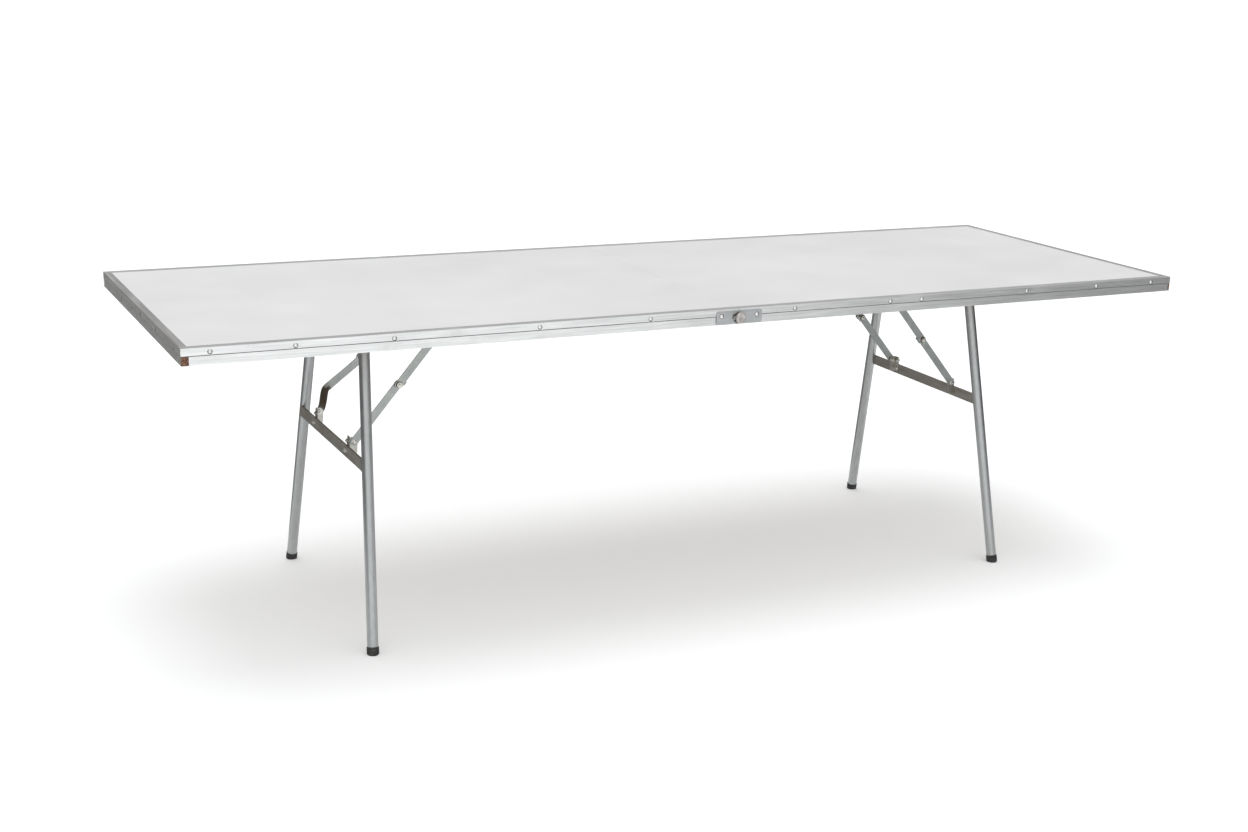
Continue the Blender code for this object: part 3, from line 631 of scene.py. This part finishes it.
def tube_path():
    """Middle line of the bent tube as (y, z), with a finely rounded bend."""
    slope = atan2(LEG_Y_FOOT - LEG_Y_TOP, FRAME_LENGTH)
    turn = pi / 2 - slope
    set_back = BEND_RADIUS * tan(turn / 2)
    centre = Vector((LEG_Y_TOP - set_back, -BEND_RADIUS))
    steps = 18
    angles = [pi / 2 - turn * i / steps for i in range(steps + 1)]
    bend = [centre + BEND_RADIUS * Vector((cos(angle), sin(angle))) for angle in angles]
    foot = Vector((LEG_Y_FOOT, -FRAME_LENGTH)) - Vector((sin(slope), -cos(slope))) * (CAP_FLOOR + 0.0003)
    straight = [bend[-1].lerp(foot, i / 8) for i in range(1, 9)]
    half = bend + straight
    return [Vector((-p.x, p.y)) for p in reversed(half)] + half


def sweep(shape, path, place, radius, sides=40):
    """Add a tube along a path in the frame's YZ plane, closed at both ends."""
    rings = []
    for index, point in enumerate(path):
        before = path[max(index - 1, 0)]
        after = path[min(index + 1, len(path) - 1)]
        ahead = (after - before).normalized()
        across = Vector((-ahead.y, ahead.x))
        ring = []
        for step in range(sides):
            angle = 2 * pi * step / sides
            spot = point + across * radius * sin(angle)
            ring.append(shape.verts.new(place @ Vector((radius * cos(angle), spot.x, spot.y))))
        rings.append(ring)
    skin(shape, rings)


def leg_tube(side_name):
    """One round tube bent into two legs and a top bar."""
    shape = bmesh.new()
    sweep(shape, tube_path(), leg_frame(side_name), TUBE_RADIUS)
    mesh_piece(side_name + "_bent_tube", shape, "tube", side_name + "_legs",
               [side_name + "_leg_tube"], 60)


def bead(shape, start, end, radius, seed, steps=16, sides=10):
    """Add an uneven weld bead between two points."""
    run = end - start
    profile = [(0, -radius * 0.6)]
    for step in range(steps + 1):
        share = step / steps
        ripple = 0.80 + 0.28 * noise.noise(Vector((share * 9, seed, 1.7))) + 0.12 * sin(share * 40)
        taper = 0.75 if step in (0, steps) else 1.0
        profile.append((radius * ripple * taper, run.length * share))
    profile.append((0, run.length + radius * 0.6))
    lathe(shape, profile, start, run, sides, 0.18, seed)


def crossbar_welds(side_name):
    """Weld beads where the crossbar meets the two tubes."""
    place = leg_frame(side_name)
    shape = bmesh.new()
    half = CROSSBAR_HEIGHT / 2
    for number, row in enumerate(ROWS.values()):
        for face, inset in ((CROSSBAR_FACES[1], 0.0035), (CROSSBAR_FACES[0], 0.0105)):
            ends = []
            for drop in (CROSSBAR_DROP - half, CROSSBAR_DROP + half):
                ends.append(place @ Vector((face, row * (leg_y(drop) - inset), -drop)))
            bead(shape, ends[0], ends[1], 0.0020, 3 + number * 5 + face * 100)
    mesh_piece(side_name + "_crossbar_welds", shape, "weld", side_name + "_legs", (), 60)


def foot_cap(side_name, row_name, row):
    """Ribbed rubber cup on a leg's end, flat on the floor."""
    place = leg_frame(side_name)
    foot = Vector((0, row * LEG_Y_FOOT, -FRAME_LENGTH))
    rim = CAP_HEIGHT
    valley = CAP_RADIUS - 0.0005
    dip = CAP_RADIUS - 0.0006
    profile = [(TUBE_RADIUS + 0.0001, rim - 0.0022), (TUBE_RADIUS + 0.0002, rim - 0.0004), (dip, rim),
               (CAP_RADIUS - 0.0001, rim - 0.0006), (CAP_RADIUS, rim - 0.0030), (dip, rim - 0.0036),
               (valley, rim - 0.0042), (CAP_RADIUS, rim - 0.0048), (CAP_RADIUS, 0.0052), (dip, 0.0046),
               (valley, 0.0040), (CAP_RADIUS, 0.0034), (CAP_RADIUS, 0.0016),
               (CAP_RADIUS - 0.0008, 0.0004), (CAP_RADIUS - 0.0022, -0.0030), (0, -0.0030)]
    shape = bmesh.new()
    turned = place.to_3x3() @ (-leg_direction(row))
    lathe(shape, profile, place @ foot, turned, 40)
    for vertex in shape.verts:
        vertex.co.z = max(vertex.co.z, 0.0)
    start = side_name + "_" + row_name
    mesh_piece(start + "_rubber_foot", shape, "rubber", side_name + "_legs",
               [start + "_foot_cap"], 50)


# Fasteners

def dome(shape, centre, axis, radius, height, seed=0):
    """Add a round rivet or nail head with a soft rim."""
    profile = [(0, height)]
    for share in (0.25, 0.45, 0.62, 0.78, 0.90, 0.97):
        profile.append((radius * share, height * (1 - share ** 2.4)))
    profile += [(radius, height * 0.02), (radius * 1.01, -0.0002)]
    lathe(shape, profile, centre, axis, 20, 0.05, seed)


def washer(shape, centre, axis, radius, thick):
    """Add a flat washer with rounded edges."""
    profile = [(0, thick), (radius - 0.0004, thick), (radius, thick * 0.6), (radius, 0), (0, 0)]
    lathe(shape, profile, centre, axis, 24)


def hex_nut(shape, centre, axis, across, thick, spin=0.0):
    """Add a six-sided nut whose corners are turned down."""
    place = axis_frame(centre, axis)
    corner = across / 2 / cos(pi / 6)
    rings = []
    for share, height in ((0.93, 0.0), (1.0, thick * 0.12), (1.0, thick * 0.85), (0.90, thick)):
        ring = []
        for step in range(24):
            angle = spin + 2 * pi * step / 24
            offset = (step % 4) * pi / 12 - pi / 6
            flat = across / 2 / cos(offset) if step % 4 else corner
            reach = min(flat, corner * share) if share < 1 else flat
            ring.append(shape.verts.new(place @ Vector((reach * cos(angle), reach * sin(angle), height))))
        rings.append(ring)
    skin(shape, rings)


def thread_end(shape, centre, axis, radius, length, pitch=0.0009):
    """Add the threaded end of a bolt."""
    profile = [(0, length), (radius * 0.72, length), (radius, length - pitch * 0.6)]
    height = length - pitch * 0.6
    while height > pitch:
        profile.append((radius * 0.86, height - pitch / 2))
        profile.append((radius, height - pitch))
        height -= pitch
    profile.append((radius, 0.0))
    lathe(shape, profile, centre, axis, 20)


def screw_head(shape, centre, axis, radius, height, spin=0.0):
    """Add a pan head with a cross drawn on it by two thin bars."""
    dome(shape, centre, axis, radius, height)
    place = axis_frame(centre, axis) @ Matrix.Rotation(spin, 4, "Z")
    tip = radius * 0.55
    half = radius * 0.10
    outline = [(-tip, -half), (tip, -half), (tip, half), (-tip, half)]
    for turn in (0, pi / 2):
        arm = place @ Matrix.Rotation(turn, 4, "Z")
        prism(shape, outline, arm, height * 0.80, height * 1.01)


def edge_nails(side_name):
    """Dome nails along the front and rear edge strips of one half, each in a dark ring of painted shade.
    """
    shape = bmesh.new()
    rings = bmesh.new()
    for row in ROWS.values():
        for number, x in enumerate(NAILS[side_name]):
            place = x if row < 0 else x * 0.985
            centre = Vector((place, row * HALF_WIDTH, TOP - NAIL_DEPTH - 0.0006 * (number % 3)))
            seat = centre + Vector((0, row * 0.0002, 0))
            dome(shape, seat, (0, row, 0), NAIL_RADIUS, HEAD_HEIGHT, number)
            # A dark ring of painted shade round the base of each nail head.
            washer(rings, centre - Vector((0, 0, 0.0005)), (0, row, 0), NAIL_RADIUS + 0.0009, 0.00025)
    top = side_name + "_top"
    mesh_piece(side_name + "_edge_nails", shape, "nail", top, (), 50)
    mesh_piece(side_name + "_nail_shade_rings", rings, "grime", top, (), 50)


def latch_rivets(side_name):
    """The rivet of each latch plate, with a thin dark ring of painted shade round it."""
    side = SIDES[side_name]
    for row_name, row in ROWS.items():
        shape = bmesh.new()
        centre = Vector((side * LATCH_RIVET_X, row * LATCH_FACE, TOP - LATCH_RIVET_DEPTH))
        dome(shape, centre, (0, row, 0), RIVET_RADIUS, HEAD_HEIGHT, side)
        # A dark ring of painted shade round the base of the rivet.
        ring = bmesh.new()
        seat = centre - Vector((0, row * 0.0001, 0))
        washer(ring, seat, (0, row, 0), RIVET_RADIUS + 0.0010, 0.0003)
        name = row_name + "_" + side_name + "_latch_rivet"
        mesh_piece(name + "_ring", ring, "grime", side_name + "_top", (), 50)
        mesh_piece(name, shape, "nail", side_name + "_top", (), 50)


def latch_knob(row_name):
    """Turned knob, worn out of round, with its locking dog behind."""
    row = ROWS[row_name]
    base = row * (LATCH_FACE + 0.0003)
    place = axis_frame((0, base, TOP - KNOB_DEPTH), (0, row, 0))
    shape = bmesh.new()
    profile = [(0, 0.0098), (0.0040, 0.0099), (0.0066, 0.0104), (0.0088, 0.0112), (0.0100, 0.0114),
               (0.0112, 0.0108), (0.0120, 0.0092), (0.0122, 0.0074), (0.0117, 0.0066), (0.0120, 0.0056),
               (0.0123, 0.0040), (0.0116, 0.0028), (0.0098, 0.0024), (0.0096, 0.0), (0, 0)]
    lathe(shape, profile, (0, base, TOP - KNOB_DEPTH), (0, row, 0), 48, 0.055, row)
    across = place.inverted().to_3x3() @ Vector((1, 0, 0))
    lean = atan2(across.y, across.x)
    dog = place @ Matrix.Rotation(lean, 4, "Z")
    outline = []
    for end in (1, -1):
        for step in range(7):
            angle = pi / 2 - pi * step / 6
            outline.append((end * (0.0125 + 0.0042 * cos(angle)), end * 0.0042 * sin(angle)))
    prism(shape, outline, dog, 0.0002, 0.0020)
    knob = mesh_piece(row_name + "_turn_knob", shape, "knob", row_name + "_knob",
                      [row_name + "_latch_knob"], 50)
    bevel(knob, 0.0003, 50)


def latch_backing():
    """Dark notched plate behind each knob, wider than the knob and set off centre and low: the notched
    catch, and a painted shadow of the knob round it.
    """
    for row_name, row in ROWS.items():
        shape = bmesh.new()
        centre = (-0.0022, row * (LATCH_FACE - 0.0002), TOP - KNOB_DEPTH - 0.0006)
        place = axis_frame(centre, (0, row, 0))
        outline = []
        for step in range(28):
            angle = 2 * pi * step / 28
            reach = 0.0132 + 0.0024 * noise.noise(Vector((cos(angle) * 2, sin(angle) * 2, row)))
            lobe = 0.0030 if cos(angle * 2 + 0.6) > 0.55 else 0.0
            outline.append(((reach + lobe) * cos(angle), (reach + lobe) * 0.93 * sin(angle)))
        # The plate reaches out past the knob all round as a painted shadow.
        prism(shape, outline, place, 0.0, 0.0004)
        mesh_piece(row_name + "_latch_catch_and_shadow", shape, "dark", "left_top", (), 40)


# Braces

def bracket_bolt(side_name, row_name, row):
    """Pin through the bracket's ear and the lower link: nut, washer, thread end and peened head."""
    place = leg_frame(side_name)
    axis = place.to_3x3() @ Vector((0, row, 0))
    pin = Vector((-PIN_OFFSET, row * BRACE_Y, -PIN_DROP))
    nut_face = place @ (pin - Vector((0, row * 0.0037, 0)))
    head_face = place @ (pin + Vector((0, row * 0.0028, 0)))
    shape = bmesh.new()
    washer(shape, nut_face, -axis, 0.0068, 0.0008)
    hex_nut(shape, nut_face - axis * 0.0008, -axis, 0.0098, 0.0032, 0.3 * row)
    thread_end(shape, nut_face - axis * 0.0040, -axis, 0.0027, 0.0022)
    dome(shape, head_face, axis, 0.0056, 0.0016)
    lathe(shape, [(0, 0.0028), (0.0030, 0.0028), (0.0030, -0.0037), (0, -0.0037)], place @ pin, axis, 20)
    start = side_name + "_" + row_name
    mesh_piece(start + "_pin_bolt", shape, "bright", side_name + "_legs",
               [start + "_bracket_bolt"], 35)


def bracket_fasteners(side_name, row_name, row):
    """Two bolts through the bracket's flange: one above the crossbar, one through it."""
    place = leg_frame(side_name)
    out = place.to_3x3() @ Vector((1, 0, 0))
    y = row * FLANGE_Y
    shape = bmesh.new()
    for drop, outer in zip(FLANGE_BOLT_DROPS, (CROSSBAR_FACES[0] - 0.0003, CROSSBAR_FACES[1])):
        inner = place @ Vector((CROSSBAR_FACES[0] - FLANGE_STEP, y, -drop))
        dome(shape, inner, -out, 0.0052, 0.0024, drop * 100)
        nut = place @ Vector((outer, y, -drop))
        washer(shape, nut, out, 0.0066, 0.0008)
        hex_nut(shape, nut + out * 0.0008, out, 0.0094, 0.0034, drop * 40)
        thread_end(shape, nut + out * 0.0042, out, 0.0028, 0.0026)
    name = side_name + "_" + row_name + "_bracket_screws"
    mesh_piece(name, shape, "bright", side_name + "_legs", (), 35)


def knuckle_washers(name, body, centre, axis):
    """A dark ring of painted shade round the base of the nut or head, and a washer, on one link; the
    shape with the washer goes on to its nut or head.
    """
    ring = bmesh.new()
    # A dark ring of painted shade round the seat of the nut or head.
    washer(ring, centre + axis * 0.0008, axis, 0.0083, 0.0003)
    mesh_piece(name, ring, "grime", body, (), 35)
    shape = bmesh.new()
    washer(shape, centre, axis, 0.0095, 0.0008)
    return shape


def knuckle_outside(start, centre, outward):
    """Washer, its ring of painted shade, nut and thread end on the upper link's side of a knuckle."""
    body = start + "upper_brace"
    shape = knuckle_washers(start + "knuckle_outer_shade_ring", body, centre, outward)
    hex_nut(shape, centre + outward * 0.0010, outward, 0.0124, 0.0044, 0.5)
    thread_end(shape, centre + outward * 0.0054, outward, 0.0034, 0.0030)
    mesh_piece(start + "knuckle_nut", shape, "bright", body, (), 35)


def knuckle_inside(start, centre, inward):
    """Washer, its ring of painted shade and peened hexagon head on the lower link's side of a knuckle."""
    body = start + "lower_brace"
    shape = knuckle_washers(start + "knuckle_inner_shade_ring", body, centre, inward)
    hex_nut(shape, centre + inward * 0.0010, inward, 0.0120, 0.0034, 0.9)
    dome(shape, centre + inward * 0.0042, inward, 0.0036, 0.0016)
    mesh_piece(start + "knuckle_head", shape, "bright", body, (), 35)


def knuckle(side_name, row_name, row):
    """Bolt that joins the two links, half on each of them."""
    place = end_frame(side_name)
    outward = place.to_3x3() @ Vector((0, row, 0))
    start = side_name + "_" + row_name + "_"
    middle = KNUCKLE - PIVOT
    knuckle_outside(start, place @ Vector((middle.x, row * KNUCKLE_OUTER, middle.z)), outward)
    knuckle_inside(start, place @ Vector((middle.x, row * KNUCKLE_INNER, middle.z)), -outward)


def cut_corners(path):
    """Soften a chain of points once and keep its two ends."""
    soft = [path[0]]
    for start, end in zip(path, path[1:]):
        soft.append(start.lerp(end, 0.25))
        soft.append(start.lerp(end, 0.75))
    soft.append(path[-1])
    return soft


def strap_stations(pin, elbow, knee):
    """Centre, turn and width along the bent strap, round end to round end."""
    along = (knee - pin).normalized()
    path = [pin, pin + along * 0.012, elbow.lerp(pin, 0.18), elbow, elbow.lerp(knee, 0.09)]
    path += [knee - along * 0.016, knee]
    for _ in range(3):
        path = cut_corners(path)
    stations = []
    for point in path:
        closeness = max(0.0, 1 - (point - elbow).length / 0.042)
        stations.append((point, radians(40) * closeness, 1.0))
    for angle in (0.35, 0.75, 1.10, 1.40, 1.52):
        reach = along * (STRAP_WIDTH / 2 - 0.0002) * sin(angle)
        stations.insert(0, (pin - reach, 0.0, cos(angle)))
        stations.append((knee + reach, 0.0, cos(angle)))
    return stations


def strap_ring(point, ahead, turn, spread):
    """Six corners of the strap's section across its direction."""
    across = Vector((0, 1, 0)).cross(ahead).normalized()
    across = Matrix.Rotation(turn, 3, ahead) @ across
    face = ahead.cross(across).normalized()
    ring = []
    for u, v in ((-1, -1), (0, -1), (1, -1), (1, 1), (0, 1), (-1, 1)):
        ring.append(point + across * u * (STRAP_WIDTH / 2) * spread + face * v * (STRAP_THICKNESS / 2))
    return ring


def bent_link():
    """The left rear lower link, bent and twisted near its lower end, with painted shade on its part below
    the bend.
    """
    mirror = Matrix.Diagonal((-1, 1, 1)).to_4x4()
    middle = Vector((0, BRACE_Y + STRAP_THICKNESS / 2, 0))
    elbow = STRAP_ELBOW + middle
    stations = strap_stations(BRACE_PIN + middle, elbow, KNUCKLE + middle)
    centres = [station[0] for station in stations]
    shape = bmesh.new()
    rings = []
    for number, (point, turn, spread) in enumerate(stations):
        behind = centres[max(number - 1, 0)]
        ahead = (centres[min(number + 1, len(centres) - 1)] - behind).normalized()
        ring = strap_ring(point, ahead, turn, spread)
        rings.append([shape.verts.new(mirror @ corner) for corner in ring])
    skin(shape, rings)
    link = mesh_piece("left_rear_bent_link", shape, "link", "left_rear_lower_brace",
                      ["left_rear_lower_link"], 40)
    # Faces below the bend take the darker zinc as painted shade.
    link.data.materials.append(MATERIALS["painted_shade_link"])
    for face in link.data.polygons:
        face.material_index = int(face.center.z < elbow.z + 0.004)
    bevel(link, 0.0004, 40)


def saddle_screws(side_name):
    """Pan-head screws in the saddles."""
    place = end_frame(side_name)
    for row_name, row in local_rows(side_name).items():
        shape = bmesh.new()
        flange = Vector((0, row * SADDLE_Y, CEILING - PIVOT.z - SCREW_PLATE))
        for number, offset in enumerate((-SADDLE_SCREW_X, SADDLE_SCREW_X)):
            centre = place @ (flange + Vector((offset, 0, 0)))
            screw_head(shape, centre, (0, 0, -1), 0.0042, 0.0022, 0.4 + number)
        name = side_name + "_" + row_name + "_saddle_screws"
        mesh_piece(name, shape, "bright", side_name + "_top", (), 40)


def bracket_screws(side_name):
    """Pan-head screws that hold each top bracket."""
    place = end_frame(side_name)
    for row_name, row in local_rows(side_name).items():
        low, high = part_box(side_name + "_" + row_name + "_top_bracket")
        middle = place.inverted() @ ((low + high) / 2)
        shape = bmesh.new()
        for number, offset in enumerate((-TOP_BRACKET_SCREW_X, TOP_BRACKET_SCREW_X)):
            spot = Vector((middle.x + offset, row * TOP_BRACKET_SCREW_Y, CEILING - PIVOT.z - SCREW_PLATE))
            screw_head(shape, place @ spot, (0, 0, -1), 0.0038, 0.0020, 1.1 + number)
        name = side_name + "_" + row_name + "_top_bracket_screws"
        mesh_piece(name, shape, "bright", side_name + "_top", (), 40)


def hinge_screws(side_name):
    """Countersunk screws along one hinge leaf, in two staggered rows."""
    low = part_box(side_name + "_hinge_leaf")[1].z - 0.0012
    shape = bmesh.new()
    for number in range(HINGE_SCREWS):
        x = SIDES[side_name] * (HINGE_LEAF_X + (0.0 if number % 2 else 0.0028))
        y = HINGE_SCREW_START + HINGE_SCREW_STEP * number
        screw_head(shape, Vector((x, y, low)), (0, 0, -1), 0.0034, 0.0011, number * 0.7)
    name = side_name + "_hinge_screws"
    mesh_piece(name, shape, "bright", side_name + "_top", (), 40)


# Worn corner

def rough_wood(name, low, high, seed, depth):
    """A splintered block of board and rail that shows where the strip is torn away."""
    shape = bmesh.new()
    bmesh.ops.create_cube(shape, size=1.0)
    size = high - low
    place = Matrix.Translation((low + high) / 2) @ Matrix.Diagonal((*size, 1))
    bmesh.ops.transform(shape, matrix=place, verts=shape.verts)
    bmesh.ops.subdivide_edges(shape, edges=shape.edges, cuts=12, use_grid_fill=True)
    for vertex in shape.verts:
        grain = noise.noise(Vector((vertex.co.x * 260, seed, vertex.co.z * 700)))
        chip = noise.noise(vertex.co * 420 + Vector((seed, 0, 0)))
        push = depth * (0.55 * grain + 0.75 * chip)
        vertex.co.y += push * 1.5
        vertex.co.x += push * 0.5
        vertex.co.z += push * 0.35
    for vertex in shape.verts:
        vertex.co.x = min(max(vertex.co.x, low.x), high.x)
        vertex.co.y = max(vertex.co.y, low.y)
        vertex.co.z = max(vertex.co.z, low.z)
    mesh_piece(name, shape, "splinter", name.split("_")[0] + "_top", (), 25)


def worn_corners():
    """Bare wood at the two front corners."""
    top = TOP - GROOVE_TOP - GROOVE_WIDTH / 2
    low = TOP - EDGE_HEIGHT + 0.0003
    rough_wood("left_corner_splinters", Vector((-HALF_LENGTH + 0.0004, -HALF_WIDTH + 0.0003, low)),
               Vector((-HALF_LENGTH + 0.0158, -HALF_WIDTH + 0.0026, top)), 2.3, 0.0011)
    rough_wood("right_corner_splinters", Vector((HALF_LENGTH - 0.0048, -HALF_WIDTH + 0.0003, low)),
               Vector((HALF_LENGTH - 0.0004, -HALF_WIDTH + 0.0026, top)), 5.1, 0.0008)


# Floor, light and camera

def set_material(name, colour):
    """A dull material of one colour for a piece of the set."""
    material = bpy.data.materials.new(name)
    material.use_nodes = True
    shader = material.node_tree.nodes["Principled BSDF"]
    shader.inputs["Base Color"].default_value = (*colour, 1)
    shader.inputs["Roughness"].default_value = 1.0
    shader.inputs["Specular IOR Level"].default_value = 0.0
    return material, shader


def make_floor():
    """A pale floor without an edge in view."""
    shape = bmesh.new()
    bmesh.ops.create_grid(shape, x_segments=8, y_segments=8, size=90)
    material, shader = set_material("studio_floor", FLOOR_COLOUR)
    shader.inputs["Emission Color"].default_value = (0.99, 1, 1.01, 1)
    shader.inputs["Emission Strength"].default_value = FLOOR_GLOW
    floor = mesh_object("studio_floor", shape, material)
    floor.location.z = -0.0002


def make_reflection_plane(name, corners, tone):
    """A plane of one tone that is seen in reflections only."""
    shape = bmesh.new()
    shape.faces.new([shape.verts.new(corner) for corner in corners])
    material, _ = set_material(name, (tone, tone, tone))
    flag = mesh_object(name, shape, material)
    flag.visible_camera = False
    flag.visible_shadow = False
    flag.visible_diffuse = False


def make_flag(name, start, end, height, tone):
    """A dark upright studio flag beside the set."""
    corners = [(*start, 0.02), (*end, 0.02), (*end, height), (*start, height)]
    make_reflection_plane(name, corners, tone)


def make_flags():
    """Dark planes beside and behind the table give the tubes and strips their darker edges."""
    make_flag("left_flag", (-1.95, -0.9), (-1.35, 7.0), 2.2, 0.25)
    make_flag("right_flag", (1.95, -0.9), (8.0, 5.4), 2.2, 0.05)
    make_flag("front_right_flag", (1.75, -4.8), (1.95, -0.9), 1.3, 0.36)
    ground = [(-6, 0.55, 0.004), (6, 0.55, 0.004), (6, 9, 0.004), (-6, 9, 0.004)]
    make_reflection_plane("dark_ground", ground, 0.26)


def world_lobe(tree, height, low, high, gain):
    """Light that grows with one coordinate of the direction, from low to high."""
    node = tree.nodes.new("ShaderNodeMapRange")
    node.interpolation_type = "SMOOTHSTEP"
    tree.links.new(height, node.inputs["Value"])
    node.inputs["From Min"].default_value = low
    node.inputs["From Max"].default_value = high
    node.inputs["To Min"].default_value = 0
    node.inputs["To Max"].default_value = gain
    return node.outputs["Result"]


def world_sum(tree, first, second, operation="ADD"):
    """The sum, or another result, of a socket and a second socket or number."""
    node = tree.nodes.new("ShaderNodeMath")
    node.operation = operation
    tree.links.new(first, node.inputs[0])
    if isinstance(second, float):
        node.inputs[1].default_value = second
    else:
        tree.links.new(second, node.inputs[1])
    return node.outputs["Value"]


def make_world():
    """Soft studio light: a bright ceiling, front and left side, a dimmer right side and back."""
    world = bpy.data.worlds.new("studio")
    bpy.context.scene.world = world
    world.use_nodes = True
    tree = world.node_tree
    background = tree.nodes["Background"]
    background.inputs["Color"].default_value = (1, 1, 1, 1)
    coords = tree.nodes.new("ShaderNodeTexCoord")
    parts = tree.nodes.new("ShaderNodeSeparateXYZ")
    tree.links.new(coords.outputs["Generated"], parts.inputs["Vector"])
    front = world_lobe(tree, parts.outputs["Y"], 0.0, -1.0, 1.15)
    left = world_lobe(tree, parts.outputs["X"], 0.25, -0.9, 0.35)
    ceiling = world_lobe(tree, parts.outputs["Z"], 0.35, 0.95, 1.05)
    total = world_sum(tree, world_sum(tree, front, left), ceiling)
    level = world_sum(tree, world_sum(tree, total, BASE_LIGHT), WORLD_LEVEL, "MULTIPLY")
    tree.links.new(level, background.inputs["Strength"])


def make_sun():
    """A very large soft lamp overhead, which gives the soft shadow under the table."""
    data = bpy.data.lights.new("overhead", "SUN")
    data.energy = SUN_ENERGY
    data.angle = SUN_ANGLE
    lamp = bpy.data.objects.new("overhead", data)
    bpy.context.scene.collection.objects.link(lamp)
    lamp.rotation_euler = (radians(-7), radians(3), 0)


def make_camera():
    """The camera at the reference view."""
    data = bpy.data.cameras.new("camera")
    data.sensor_width = 36
    data.lens = CAMERA_LENS
    data.clip_end = 400
    camera = bpy.data.objects.new("camera", data)
    bpy.context.scene.collection.objects.link(camera)
    reach = cos(CAMERA_PITCH)
    ahead = Vector((sin(CAMERA_YAW) * reach, cos(CAMERA_YAW) * reach, -sin(CAMERA_PITCH)))
    level_right = Vector((cos(CAMERA_YAW), -sin(CAMERA_YAW), 0))
    level_up = level_right.cross(ahead)
    right = cos(CAMERA_ROLL) * level_right + sin(CAMERA_ROLL) * level_up
    up = cos(CAMERA_ROLL) * level_up - sin(CAMERA_ROLL) * level_right
    turn = Matrix((right, up, -ahead)).transposed().to_4x4()
    camera.matrix_world = Matrix.Translation(CAMERA_PLACE) @ turn
    bpy.context.scene.camera = camera


def make_stage():
    """Camera, light, floor and the plain view transform."""
    make_camera()
    make_world()
    make_sun()
    make_floor()
    make_flags()
    bpy.context.scene.view_settings.view_transform = "Standard"
    bpy.context.scene.view_settings.look = "None"


make_stage()
dress_nodes()


def build_hardware():
    """Every added piece."""
    for side_name in SIDES:
        leg_tube(side_name)
        crossbar_welds(side_name)
        for row_name, row in local_rows(side_name).items():
            foot_cap(side_name, row_name, row)
            bracket_bolt(side_name, row_name, row)
            bracket_fasteners(side_name, row_name, row)
            knuckle(side_name, row_name, row)
        edge_nails(side_name)
        latch_rivets(side_name)
        saddle_screws(side_name)
        bracket_screws(side_name)
        hinge_screws(side_name)
    for row_name in ROWS:
        latch_knob(row_name)
    latch_backing()
    bent_link()
    worn_corners()


build_hardware()
